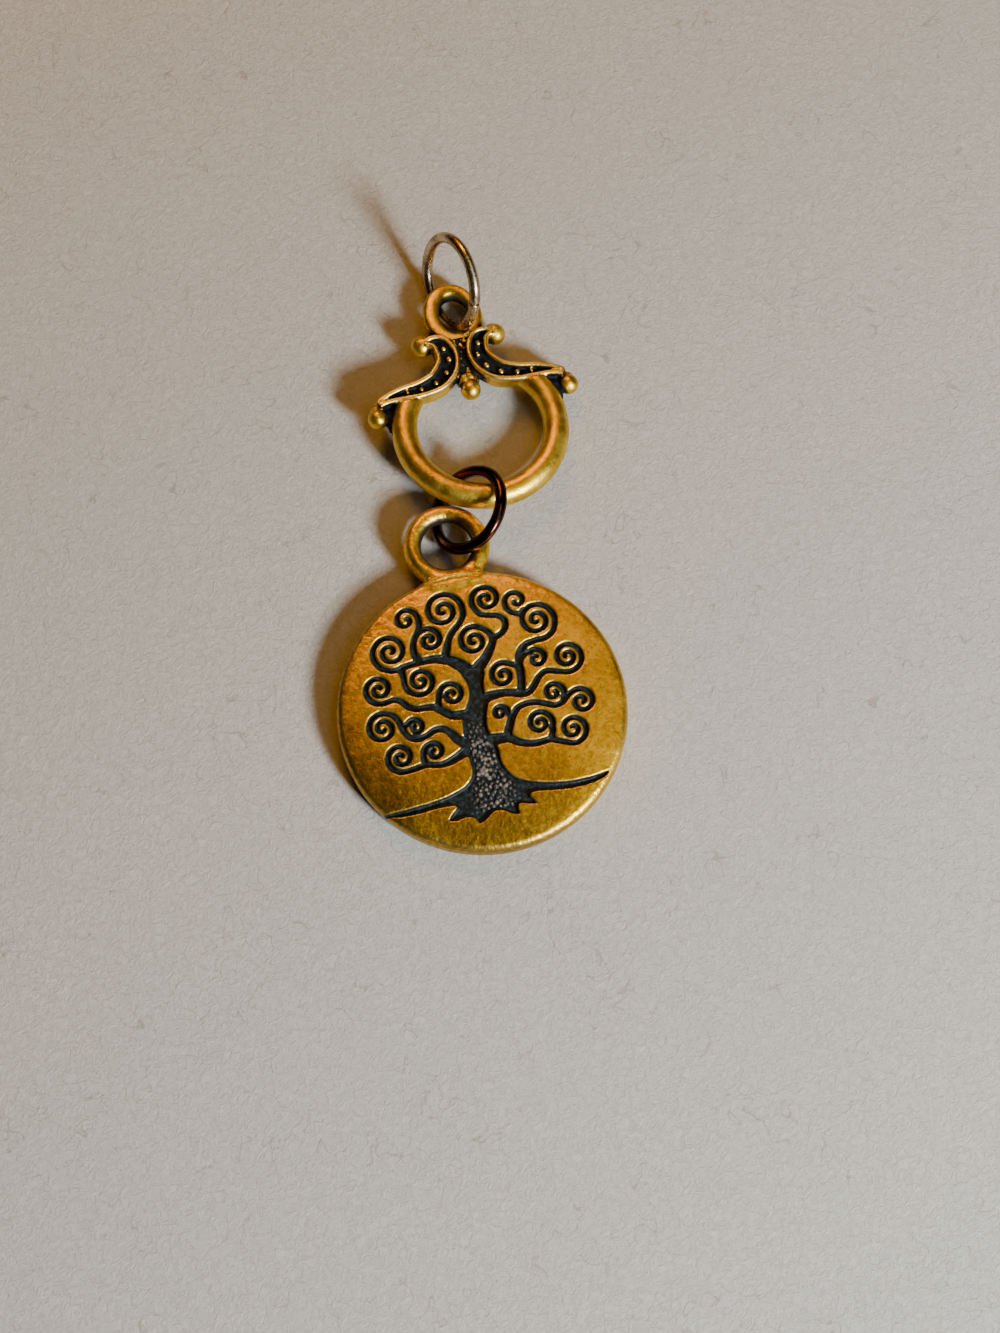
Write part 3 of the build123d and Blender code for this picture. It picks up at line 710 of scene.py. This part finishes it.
def scatter(spacing, reach):
    """Points at about a spacing, slightly shaken, over a square round the middle."""
    points = []
    for row in range(int(2 * reach / (spacing * row_share))):
        for column in range(int(2 * reach / spacing)):
            x = -reach + (column + 0.5 * (row % 2)) * spacing + random.uniform(-shake, shake) * spacing
            y = -reach + row * spacing * row_share + random.uniform(-shake, shake) * spacing
            points.append((x, y))
    return np.array(points)


def face_mesh(tree, trunk):
    """The disc's face with its relief, as flat points and triangles, cut along the relief."""
    radius = disc_radius - rim_round
    order = np.arange(rim_segments)
    turns = order * 2 * math.pi / rim_segments
    points = [radius * np.column_stack([np.cos(turns), np.sin(turns)])]
    edges = [np.column_stack([order, np.roll(order, -1)])]
    count = rim_segments
    for height_line in relief_distance:
        for line in contours(tree, height_line):
            if len(line) < shortest_contour:
                continue
            for _ in range(contour_rounds):
                line = 0.5 * line + 0.25 * (np.roll(line, 1, axis=0) + np.roll(line, -1, axis=0))
            line = even_line(line, relief_spacing, closed=True)
            order = np.arange(len(line)) + count
            points.append(line)
            edges.append(np.column_stack([order, np.roll(order, -1)]))
            count += len(line)
    spread = scatter(face_spacing, radius)
    clear = tree.at(spread) > relief_distance[-1] + relief_room
    points.append(spread[clear & (np.hypot(*spread.T) < radius - rim_room)])
    grains = scatter(bark_point_spacing, radius)
    points.append(grains[trunk.at(grains) < relief_distance[0] + bark_overlap])
    vectors = [Vector(point) for point in np.vstack(points)]
    lines = [tuple(edge) for edge in np.vstack(edges).tolist()]
    made, _, triangles, *_ = delaunay_2d_cdt(vectors, lines, [], 0, merge_distance)
    made = np.array([tuple(point) for point in made])
    triangles = np.array(triangles)
    within = (np.hypot(*made.T)[triangles] < radius + 10 * merge_distance).all(axis=1)
    used, order = np.unique(triangles[within], return_inverse=True)
    return made[used], [tuple(triangle) for triangle in order.reshape(-1, 3).tolist()]


def outer_edge(points, triangles):
    """The points on the face's outer edge, in order round its middle."""
    uses = {}
    for triangle in triangles:
        for start, end in zip(triangle, triangle[1:] + triangle[:1]):
            side = (min(start, end), max(start, end))
            uses[side] = uses.get(side, 0) + 1
    edge = {point for side, count in uses.items() if count == 1 for point in side}
    return sorted(edge, key=lambda point: math.atan2(points[point][1], points[point][0]))


def disc_face():
    """The tree's field, the face's points at their heights, its triangles and its marks."""
    tree, trunk = tree_fields()
    flat, triangles = face_mesh(tree, trunk)
    away = tree.at(flat)
    heights = np.interp(away, relief_distance, relief_height)
    bark = bark_relief(flat, trunk)
    heights += bark_grain_height * bark
    points = np.column_stack([flat, disc_thickness + heights])
    points[:, 2] += ripple(points * [1, 1, 0], *face_ripple) * (away > 0)
    worn = np.exp(-((away - worn_middle) / worn_reach) ** 2)
    return tree, points, triangles, sunk_shade(away), worn, bark


def sunk_shade(away):
    """1 in the grooves and 0 on the face, from the distance to their edge."""
    return ramp(shade_start - away, shade_fade)


def bark_relief(flat, trunk):
    """How high the bark's grains stand at each point, as a share of their full height."""
    grains = bark_grains(trunk)
    offsets = away_from(flat, grains)
    share = offsets.min(axis=1) / grains[offsets.argmin(axis=1), 2]
    bark = np.sqrt(np.clip(1 - share ** 2, 0, 1)) * ramp(-trunk.at(flat) - bark_edge, bark_edge_fade)
    bark *= ramp(bark_none - flat[:, 1], bark_none - bark_full) ** bark_fade_power
    return bark * ramp(bark_half_width - np.abs(flat[:, 0] - bark_middle), bark_side_fade)


def bark_grains(trunk):
    """The bark's grains as (x, y, radius), strewn over the trunk with no two too near."""
    grains = []
    for _ in range(grain_tries):
        x = random.uniform(*bark_sides)
        y = random.uniform(*bark_ends)
        if -trunk.at([(x, y)])[0] < grain_inset:
            continue
        if all(math.hypot(x - other[0], y - other[1]) > bark_grain * grain_room for other in grains):
            grains.append((x, y, bark_grain * random.uniform(*grain_shares)))
    return np.array(grains)


def rim_profile():
    """The disc's section from the face's edge round to the middle of its back."""
    profile = []
    for angle in np.arange(rim_turn_step, 91, rim_turn_step):
        turn = math.radians(angle)
        profile.append((disc_radius - rim_round + rim_round * math.sin(turn),
                        disc_thickness - rim_round + rim_round * math.cos(turn)))
    upper = list(profile)
    for step in range(1, rim_side_steps):
        profile.append((disc_radius, disc_thickness - rim_round
                        - (disc_thickness - 2 * rim_round) * step / rim_side_steps))
    profile += [(radius, disc_thickness - height) for radius, height in reversed(upper)]
    back = np.arange(disc_radius - rim_round, back_middle, -back_ring_step)
    return profile + [(radius, 0.0) for radius in back]


def droop(points):
    """How far the worn face falls away towards the rim, at each point."""
    out = ramp(np.hypot(points[:, 0], points[:, 1]) - droop_start, disc_radius - droop_start)
    return face_droop * out ** 2 * ramp(points[:, 2] - droop_bottom, droop_fade)


def disc_field(points):
    """Distances to the plain disc, negative inside it."""
    outward = np.hypot(points[:, 0], points[:, 1]) - (disc_radius - rim_round)
    upward = np.abs(points[:, 2] - disc_thickness / 2) - (disc_thickness / 2 - rim_round)
    corner = np.hypot(np.maximum(outward, 0), np.maximum(upward, 0))
    return corner + np.minimum(np.maximum(outward, upward), 0) - rim_round


def bail_half_height(x, y):
    """Half the loop's height where it points this way: its left side is the deepest."""
    turn = np.arctan2(y - bail_reach, x) - math.radians(bail_deep_angle)
    return bail_wire_radius + (bail_depth - bail_wire_radius) * one_side(turn)


def bail_field(points):
    """Distances to the disc's loop, negative inside it."""
    outward = np.hypot(points[:, 0], points[:, 1] - bail_reach) - bail_radius
    upward = (points[:, 2] - disc_thickness / 2) * bail_wire_radius / bail_half_height(*points[:, :2].T)
    return np.hypot(outward, upward) - bail_wire_radius


def blended(points):
    """Points near the corners of disc and loop, moved out to a cast fillet."""
    def field(places):
        """Distances to disc and loop with a fillet between them."""
        disc, bail = disc_field(places), bail_field(places)
        near = np.maximum(bail_blend - np.abs(disc - bail), 0)
        return np.minimum(disc, bail) - near ** 2 / (4 * bail_blend)

    disc, bail = disc_field(points), bail_field(points)
    moves = (np.maximum(disc, bail) < bail_blend) & (np.minimum(disc, bail) > -blend_depth)
    places = points[moves]
    for _ in range(blend_rounds):
        value = field(places)
        slope = np.stack([(field(places + step) - field(places - step)) / (2 * blend_probe)
                          for step in np.eye(3) * blend_probe], axis=1)
        steepness = np.maximum((slope ** 2).sum(axis=1), least_slope)
        places = places - slope * (value / steepness)[:, None]
    points = points.copy()
    points[moves] = places
    return points


def lower_left_shade(points):
    """How much painted shade browns the casting at each point: most at the foot of the tree and at the
    left rim.
    """
    x, y = points[:, 0], points[:, 1]
    across, down = shade_slope
    lean = (-down * y - across * x) / disc_radius
    foot = np.clip(lean + shade_lean_start, 0, 1) * ramp(shade_right - x, shade_right_fade)
    edge = ramp(np.hypot(x, y) - shade_rim, shade_rim_fade)
    return np.maximum(foot, edge * np.clip(shade_rim_right - x / disc_radius, 0, 1))


def rim_rows(face, triangles):
    """The rows of points from the face's edge round to the back, and all the body's faces."""
    before = outer_edge(face, triangles)
    around = len(before)
    angles = np.arctan2(face[before, 1], face[before, 0])
    faces = list(triangles)
    rows = []
    count = len(face)
    for radius, height in rim_profile():
        rows.append(np.column_stack([radius * np.cos(angles), radius * np.sin(angles),
                                     np.full(around, height)]))
        after = list(range(count, count + around))
        for place in range(around):
            turn = (place + 1) % around
            faces.append((before[place], after[place], after[turn], before[turn]))
        before = after
        count += around
    faces.append(tuple(before))
    return np.vstack(rows), faces


def worn_rim(rim, tree):
    """The rim's points with their ripples and the ends of the ground line, and their distance to it."""
    outward = np.hypot(rim[:, 0], rim[:, 1])[:, None]
    lumps = ripple(rim * [1, 1, 0.4], *rim_ripple) + ripple(rim, *rim_fine_ripple)
    lumps *= ramp(outward[:, 0] - rim_ripple_start, rim_ripple_fade)
    rim[:, :2] += rim[:, :2] / outward * lumps[:, None]
    rim[:, 2] += ripple(rim, *back_ripple) * (rim[:, 2] < back_ripple_top)
    away = np.where(rim[:, 2] > disc_thickness / 2, tree.at(rim), relief_distance[-1])
    rim[:, 2] = np.minimum(rim[:, 2], disc_thickness + np.interp(away, relief_distance, relief_height))
    return rim, away


def disc_loop():
    """The points and faces of the disc's loop, before its fillet."""
    line = arc(bail_radius, 0, 360, step=2.25)[:-1] + [0, bail_reach, disc_thickness / 2]
    depth = bail_half_height(*line[:, :2].T)
    points, faces = sweep(line, bail_wire_radius, depth, sides=40, closed=True)
    points += ripple(points, *bail_ripple)[:, None]
    return blended(points), faces


def make_charm(material):
    """The disc with its tree and its loop, as one casting."""
    tree, face, triangles, recess, worn, bark = disc_face()
    rim, faces = rim_rows(face, triangles)
    rim, rim_away = worn_rim(rim, tree)
    body = np.vstack([face, rim])
    body[:, 2] -= droop(body)
    depth = disc_thickness - rim[:, 2]
    rim_wear = edge_wear * np.exp(-((depth - edge_wear_depth) / edge_wear_reach) ** 2)
    body = blended(body)
    loop, loop_faces = disc_loop()
    points, faces = joined([(body, faces), (loop, loop_faces)])
    none = np.zeros(len(loop))
    inward = bail_radius - np.hypot(loop[:, 0], loop[:, 1] - bail_reach)
    inside = inner_shade(inward / bail_wire_radius)
    # Painted shade: the wall of the loop's hole, below its middle, goes into the recess mark and turns
    # dark
    lower = low_shade(loop[:, 2] - disc_thickness / 2)
    marks = {
        "oxide": np.concatenate([np.zeros(len(body)), inside]),
        "recess": np.concatenate([recess, sunk_shade(rim_away), inside * lower]),
        "worn": np.concatenate([worn, rim_wear, none]),
        # Painted shade: brown towards the foot of the tree and the left rim
        "lower_left_shade": np.concatenate([lower_left_shade(body), none]),
        "bark": np.concatenate([bark, np.zeros(len(rim)), none]),
    }
    middle, right, up = lying("tree_charm", disc_radius, (0.0, bail_reach))
    place = (middle - up * disc_thickness / 2, right, up)
    finish_piece("charm_casting", points, faces, place, marks, "tree_charm",
                 material)


# The scroll link

def offset_line(line, sideways):
    """A line moved sideways, by an amount per point, to its right."""
    along = np.gradient(line[:, :2], axis=0)
    along /= np.linalg.norm(along, axis=1)[:, None]
    moved = line.copy()
    moved[:, 0] += along[:, 1] * sideways
    moved[:, 1] -= along[:, 0] * sideways
    return moved


def level(line, height):
    """A line of (x, y, ...) points at one height."""
    return np.column_stack([line[:, :2], np.full(len(line), height)])


def scroll_parts(side):
    """One scroll: its body, its two ribs and its granules."""
    line = scroll_line(side)
    half = line[:, 2] / 2
    body = level(line, scroll_middle)
    parts = [sweep(body, half - scroll_inset, scroll_half_height, sides=20, roundness=3.5)]
    for hand in (-1, 1):
        rib = level(offset_line(line, hand * (half - rib_half_width)), rib_middle)
        parts.append(sweep(rib, rib_half_width, rib_half_height, sides=14, roundness=2.3))
    for x, y in granule_places:
        place = Vector((side * x * link_radius, y * link_radius, granule_height))
        nearest = np.hypot(line[:, 0] - place.x, line[:, 1] - place.y).argmin()
        room = granule_share * (half[nearest] - 2 * rib_half_width)
        parts.append(ball(place, min(granule_radius * random.uniform(*granule_shares), room)))
    return parts


def scroll_line(side):
    """The line of one scroll, with its width in the third column."""
    return smooth_line(np.array(scroll) * link_radius * [side, 1, 1], spacing=0.08)


def web_line(side):
    """The line of the web between one scroll's end and the ring, with its width."""
    return smooth_line(np.array(end_web) * link_radius * [side, 1, 1], web_spacing)


def link_ball(side, place, radius):
    """A ball at a place that is given in shares of the ring's radius."""
    x, y = place
    return ball(Vector((side * x * link_radius, y * link_radius, 0)), radius)


def into_scroll(points):
    """How far each point is in from the edge of the nearer scroll, negative outside it."""
    depths = []
    for side in (-1, 1):
        line = scroll_line(side)
        depths.append((line[:, 2] / 2 - away_from(points, line)).max(axis=1))
    return np.maximum(*depths)


def link_ring():
    """The link's ring, open at the top and flattened where the scrolls cover it."""
    line = arc(link_radius, 180 - ring_end_angle, 360 + ring_end_angle, step=1.2)
    tube, faces = sweep(line, link_tube_radius, link_tube_radius, sides=48)
    under = into_scroll(tube) > scroll_inset
    tube[under, 2] = np.minimum(tube[under, 2], channel_floor - tube_inset)
    return tube, faces


def link_loop():
    """The oval loop, whose far wall is deeper and whose left wall is thicker."""
    line = arc(1, 0, 360, step=3)[:-1] * [loop_half_width, loop_half_length, 0]
    line += [loop_shift, loop_reach, -loop_drop]
    away = (line[:, :2] - [loop_shift, loop_reach]) / [loop_half_width, loop_half_length]
    deeper = loop_far_depth * np.clip(away[:, 1], 0, None)
    turn = np.arctan2(away[:, 1], away[:, 0]) - math.radians(loop_thick_angle)
    thicker = loop_thicker * one_side(turn)
    line[:, :2] += away * thicker[:, None]
    line[:, 2] -= deeper
    wide, high = loop_wire_radius + thicker, loop_wire_radius + deeper
    return sweep(line, wide, high, sides=32, roundness=2.6, closed=True)


def link_parts():
    """Everything that the link's casting is made of."""
    parts = [link_ring()]
    for side in (-1, 1):
        parts += scroll_parts(side)
        parts += [ball(Vector((side * x, y, 0)), radius) for x, y, radius in necks]
        web = web_line(side)
        half = web[:, 2] / 2
        parts.append(sweep(level(web, web_middle), half, web_half_height, roundness=4))
        parts.append(link_ball(side, end_ball_place, end_ball_radius))
        parts.append(link_ball(side, upper_ball_place, upper_ball_radius))
    parts.append(link_ball(1, (0, low_ball_place), low_ball_radius))
    for x, y, radius in collar_lumps:
        parts.append(ball(Vector((x, y, collar_height)), radius))
    middle = np.array([(0, y, web_middle) for y in np.arange(*middle_web_ends, web_spacing)])
    parts.append(sweep(middle, middle_web_half_width, web_half_height, sides=20, roundness=5))
    for _ in range(web_grains):
        x = random.uniform(-web_grain_across, web_grain_across)
        y = random.uniform(*web_grain_along)
        place = Vector((x, y, web_middle + web_half_height))
        parts.append(ball(place, web_grain_radius * random.uniform(*web_grain_shares)))
    parts.append(link_loop())
    return parts


def web_shade(points):
    """1 on the low webs, painted dark as patina and as the shade between the raised parts, and 0
    elsewhere.
    """
    x, y, z = points.T
    start, end = middle_shade_ends
    low = ramp(web_middle + web_half_height + web_shade_height - z, web_shade_fade)
    near = ramp(middle_shade_half_width - np.abs(x), web_edge_fade) * (y > start) * (y < end)
    for side in (-1, 1):
        away = away_from(points, web_line(side)).min(axis=1)
        near = np.maximum(near, ramp(end_shade_reach - away, web_edge_fade))
    return near * low


def inner_shade(depth):
    """0 where a loop's wire faces out or up, rising to 1 where it faces its hole."""
    return ramp(depth - inner_start, inner_fade)


def low_shade(height):
    """1 on a hole's wall below its middle, where shade is painted dark, and 0 above it."""
    return ramp(low_start - height, low_fade)


def link_marks(points, faces, normals):
    """Where the link is shut in, sunk or worn, and where shade is painted on its low webs and in its
    loop's hole, at each point.
    """
    x, y, z = points.T
    hollow = shut_in(points, faces, normals, hollow_reach, hollow_rays)
    depth = into_scroll(points)
    channel = np.clip((depth - 2 * rib_half_width) / channel_fade + channel_spread, 0, 1)
    channel *= ramp(channel_floor + channel_top - z, channel_top_fade) * (z > 0)
    # The low webs: patina and painted shade between the raised parts
    channel = np.maximum(channel, web_shade(points))
    out = np.hypot((x - loop_shift) / loop_half_width, (y - loop_reach) / loop_half_length)
    oxide = inner_shade((1 - out) * loop_half_width / loop_wire_radius) * (out < 1)
    # Painted shade: the wall of the loop's hole, below its middle, turns dark with the channels
    channel = np.maximum(channel, oxide * low_shade(z + loop_drop))
    crest = np.clip(depth / crest_fade + 1, 0, 1) * ramp(z - crest_height, crest_height_fade)
    return {"hollow": hollow, "channel": channel, "oxide": oxide, "crest": crest}


def make_link(material):
    """The ring, its scrolls, balls, webs and loop, as one casting."""
    points, faces, normals = fused(link_parts(), voxel=0.066, softening=2)
    marks = link_marks(points, faces, normals)
    swell = ripple(points, *link_ripple) + ripple(points, *link_fine_ripple)
    points = points + normals * swell[:, None]
    place = lying("scroll_link", link_radius + link_tube_radius, (loop_shift, loop_reach))
    finish_piece("link_casting", points, faces, place, marks, "scroll_link",
                 material)


# Jump rings

def make_ring(name, radius, wire_radius, seam, node, material):
    """A ring of round wire, closed but for its seam, and a little narrower at its two ends."""
    gap = math.degrees(ring_gap / radius)
    line = arc(radius, seam, seam + 360 - gap, step=1.6)
    width = np.full(len(line), wire_radius)
    width[[0, -1]] *= cut_end
    points, faces = sweep(line, width, width, sides=32)
    points += ripple(points, *wire_ripple)[:, None]
    place = lying(node, radius + wire_radius)
    finish_piece(name, points, faces, place, {}, node, material)


# Finishes

class Finish:
    """A material, and short ways to add to it. Its pattern sizes are millimetres."""

    def __init__(self, name):
        self.material = bpy.data.materials.new(name)
        self.material.use_nodes = True
        self.tree = self.material.node_tree
        self.surface = self.tree.nodes["Principled BSDF"]
        place = self.tree.nodes.new("ShaderNodeTexCoord").outputs["Object"]
        scaled = self.node("ShaderNodeVectorMath", {0: place, "Scale": 1 / METRES}, operation="SCALE")
        self.place = scaled.outputs[0]

    def node(self, kind, inputs, **settings):
        """A new node with these settings and inputs."""
        made = self.tree.nodes.new(kind)
        for key, value in settings.items():
            setattr(made, key, value)
        for key, value in inputs.items():
            self.feed(made.inputs[key], value)
        return made

    def feed(self, socket, value):
        """Links a socket to another, or sets it to a number or a colour."""
        if isinstance(value, bpy.types.NodeSocket):
            self.tree.links.new(value, socket)
        else:
            socket.default_value = (*value, 1.0) if isinstance(value, tuple) else value

    def speckle(self, size, detail=3.0, roughness=0.55, distortion=0.0):
        """Noise from 0 to 1 whose spots are about that many millimetres across."""
        return self.node("ShaderNodeTexNoise", {
            "Vector": self.place, "Scale": 1 / size, "Detail": detail,
            "Roughness": roughness, "Distortion": distortion}).outputs["Fac"]

    def cells(self, size):
        """The distance to the nearest of scattered points, in shares of their spacing."""
        inputs = {"Vector": self.place, "Scale": 1 / size}
        return self.node("ShaderNodeTexVoronoi", inputs).outputs["Distance"]

    def mark(self, name):
        """A mark of the mesh's points."""
        return self.node("ShaderNodeAttribute", {}, attribute_name=name).outputs["Fac"]

    def calculate(self, operation, *values):
        """The result of one Math node."""
        return self.node("ShaderNodeMath", dict(enumerate(values)), operation=operation).outputs[0]

    def plus(self, value, other):
        """One value added to another."""
        return self.calculate("ADD", value, other)

    def times(self, value, other):
        """One value times another."""
        return self.calculate("MULTIPLY", value, other)

    def between(self, value, low, high, to_low=0.0, to_high=1.0):
        """A value stretched from one span to another, and held inside it."""
        return self.node("ShaderNodeMapRange", {
            "Value": value, "From Min": low, "From Max": high,
            "To Min": to_low, "To Max": to_high}, interpolation_type="SMOOTHSTEP").outputs["Result"]

    def mix(self, share, first, second):
        """A colour that holds a share of the second one."""
        return self.node("ShaderNodeMix", {0: share, 6: first, 7: second}, data_type="RGBA").outputs[2]

    def bump(self, height, depth, **before):
        """Relief of a depth in millimetres, on top of what was there before."""
        inputs = {"Height": height, "Distance": depth * METRES, "Strength": 1.0}
        return self.node("ShaderNodeBump", inputs | before).outputs["Normal"]

    def relief(self, bumps):
        """Relief of several sizes of spots."""
        before = {}
        for size, detail, depth in bumps:
            before = {"Normal": self.bump(self.speckle(size, detail), depth, **before)}
        return before["Normal"]

    def finish(self, **inputs):
        """The material, with these inputs to its surface."""
        for key, value in inputs.items():
            self.feed(self.surface.inputs[key.replace("_", " ")], value)
        return self.material


def gold_parts(name, cloud_size, grit_roughness, tone):
    """A new finish with the noises and the mottled tone of antique gold."""
    made = Finish(name)
    clouds = made.speckle(cloud_size, 4.0, 0.6)
    grit = made.speckle(0.3, 4.0, grit_roughness)
    return made, clouds, grit, made.mix(made.between(clouds, 0.35, 0.68), *tone)


def gold_finish(made, clouds, tones, recess, rougher, bumps, specular):
    """Gold outside the recesses, and a dull dark tone in them."""
    roughness = made.between(clouds, 0.3, 0.7, *gold_roughness)
    return made.finish(Base_Color=made.mix(recess, *tones), Metallic=made.between(recess, 0, 1, 1.0, 0.0),
                       Roughness=made.plus(roughness, made.times(recess, rougher)),
                       Normal=made.relief(bumps), Specular_IOR_Level=specular)


def charm_finish():
    """Antique gold: mottled, pitted, dark in the grooves, bright on the worn edges."""
    made, clouds, grit, gold = gold_parts("antique_gold_charm", 2.4, 0.65, charm_gold)
    gold = made.mix(made.between(grit, 0.45, 0.65, 0, 0.62), gold, charm_grit)
    gold = made.mix(made.between(grit, 0.3, 0.42, 0.45, 0), gold, charm_glint)
    pits = made.plus(made.cells(0.9), made.times(grit, 0.12))
    gold = made.mix(made.between(pits, 0.09, 0.15, 0.8, 0), gold, charm_pit)
    # Painted shade: browner towards the lower left, broken up by the grit
    brown = made.times(made.mark("lower_left_shade"), made.between(grit, 0.3, 0.6, 0.45, 0.9))
    gold = made.mix(brown, gold, charm_shade_brown)
    gold = made.mix(made.times(made.mark("worn"), 0.25), gold, charm_worn)
    gold = made.mix(made.times(made.mark("oxide"), 0.85), gold, charm_oxide)
    dark = made.mix(made.between(grit, 0.42, 0.68), *charm_dark)
    tan = made.mix(made.between(made.speckle(0.6, 2.0), 0.38, 0.62), *bark_tan)
    dark = made.mix(made.between(made.mark("bark"), 0.35, 0.85), dark, tan)
    # The recess mark also holds the painted shade low in the loop's hole
    recess = made.between(made.plus(made.mark("recess"), made.times(grit, 0.3)), 0.35, 0.8)
    return gold_finish(made, clouds, (gold, dark), recess, 0.1, charm_bumps, 0.25)


def link_finish():
    """The same gold, more polished, dark in the channels and where it is shut in."""
    made, clouds, grit, gold = gold_parts("antique_gold_link", 1.8, 0.6, link_gold)
    gold = made.mix(made.between(grit, 0.5, 0.72, 0, 0.5), gold, link_grit)
    gold = made.mix(made.times(made.mark("crest"), 0.45), gold, link_crest)
    gold = made.mix(made.times(made.mark("oxide"), 0.85), gold, link_oxide)
    hollow = made.plus(made.mark("hollow"), made.between(grit, 0.3, 0.7, -0.06, 0.06))
    brown = made.mix(made.between(hollow, 0.14, 0.32), gold, link_brown)
    dark = made.mix(made.between(grit, 0.4, 0.65), *link_dark)
    # The channel mark also holds the low webs' patina and painted shade, and the painted shade in the
    # loop's hole
    channel = made.plus(made.mark("channel"), made.between(grit, 0.3, 0.7, -0.1, 0.1))
    recess = made.calculate("MAXIMUM", made.between(hollow, 0.3, 0.45), made.between(channel, 0.35, 0.65))
    return gold_finish(made, clouds, (brown, dark), recess, 0.2, link_bumps, 0.12)


def wire_finish(name, tone, roughness):
    """Drawn wire, polished and tarnished."""
    made = Finish(name)
    clouds = made.speckle(1.2, 4.0, 0.6)
    grit = made.speckle(0.22, 3.0, 0.6)
    return made.finish(Base_Color=made.mix(made.between(clouds, 0.35, 0.65), *tone), Metallic=1.0,
                       Roughness=made.between(grit, 0.35, 0.7, *roughness), Normal=made.relief(wire_bumps))


def floor_finish():
    """Pale paper with short fibres and a few dark threads."""
    made = Finish("pale_floor")
    fibres = made.speckle(0.45, 6.0, 0.75, 1.2)
    patches = made.speckle(6.0, 3.0)
    threads = made.calculate("SUBTRACT", made.speckle(2.2, 1.0, 0.5, 0.8), 0.5)
    threads = made.between(made.calculate("ABSOLUTE", threads), 0.0, 0.012, 0.5, 0)
    tone = made.mix(made.between(fibres, 0.3, 0.7), *floor_fibre)
    tone = made.mix(made.between(patches, 0.3, 0.7, 0, 0.35), tone, floor_patch)
    tone = made.mix(made.times(threads, made.between(patches, 0.4, 0.6)), tone, floor_thread)
    return made.finish(Base_Color=tone, Roughness=0.9, Normal=made.bump(fibres, 0.12))


# Stage

def make_floor():
    """The floor, which isn't part of the pendant."""
    mesh = bpy.data.meshes.new("floor")
    reach = floor_reach * METRES
    corners = [(-reach, -reach, 0), (reach, -reach, 0), (reach, reach, 0), (-reach, reach, 0)]
    mesh.from_pydata(corners, [], [(0, 1, 2, 3)])
    mesh.materials.append(floor_finish())
    floor = added("floor", mesh)


def aim(obj, azimuth, elevation, distance):
    """Puts an object at a distance from the view's target, facing it. Azimuth 0 is near and 90 right."""
    turn, rise = math.radians(azimuth), math.radians(elevation)
    way = Vector((math.sin(turn) * math.cos(rise), -math.cos(turn) * math.cos(rise), math.sin(rise)))
    target = Vector(view_target) * METRES
    position = target + way * distance * METRES
    obj.location = position
    obj.rotation_mode = "QUATERNION"
    obj.rotation_quaternion = (target - position).to_track_quat("-Z", "Y")


def make_light(name, azimuth, elevation, distance, size, power, tint):
    """A soft square light."""
    lamp = bpy.data.lights.new(name, "AREA")
    lamp.size = size * METRES
    lamp.energy = power
    lamp.color = tint
    aim(added(name, lamp), azimuth, elevation, distance)


def make_camera():
    """The camera, on the near side and looking down at the pendant."""
    lens = bpy.data.cameras.new("camera")
    lens.sensor_fit = "VERTICAL"
    lens.sensor_height = 36
    lens.lens = 54
    lens.clip_start, lens.clip_end = 0.005, 10
    camera = added("camera", lens)
    aim(camera, 0, view_elevation, view_distance)
    bpy.context.scene.camera = camera


def make_world():
    """A faint, warm light from all round."""
    world = bpy.data.worlds.new("studio")
    world.use_nodes = True
    background = world.node_tree.nodes["Background"]
    background.inputs["Color"].default_value = (0.9, 0.88, 0.85, 1.0)
    background.inputs["Strength"].default_value = 0.018
    bpy.context.scene.world = world


random.seed(4)
make_charm(charm_finish())
make_link(link_finish())
make_ring("lower_ring_wire", low_radius, low_wire_radius, low_seam, "lower_jump_ring",
          wire_finish("dark_ring_wire", dark_wire, dark_wire_roughness))
make_ring("upper_ring_wire", up_radius, up_wire_radius, up_seam, "upper_jump_ring",
          wire_finish("bright_ring_wire", bright_wire, bright_wire_roughness))
make_floor()
for light, values in lights.items():
    make_light(light, *values)
make_world()
make_camera()
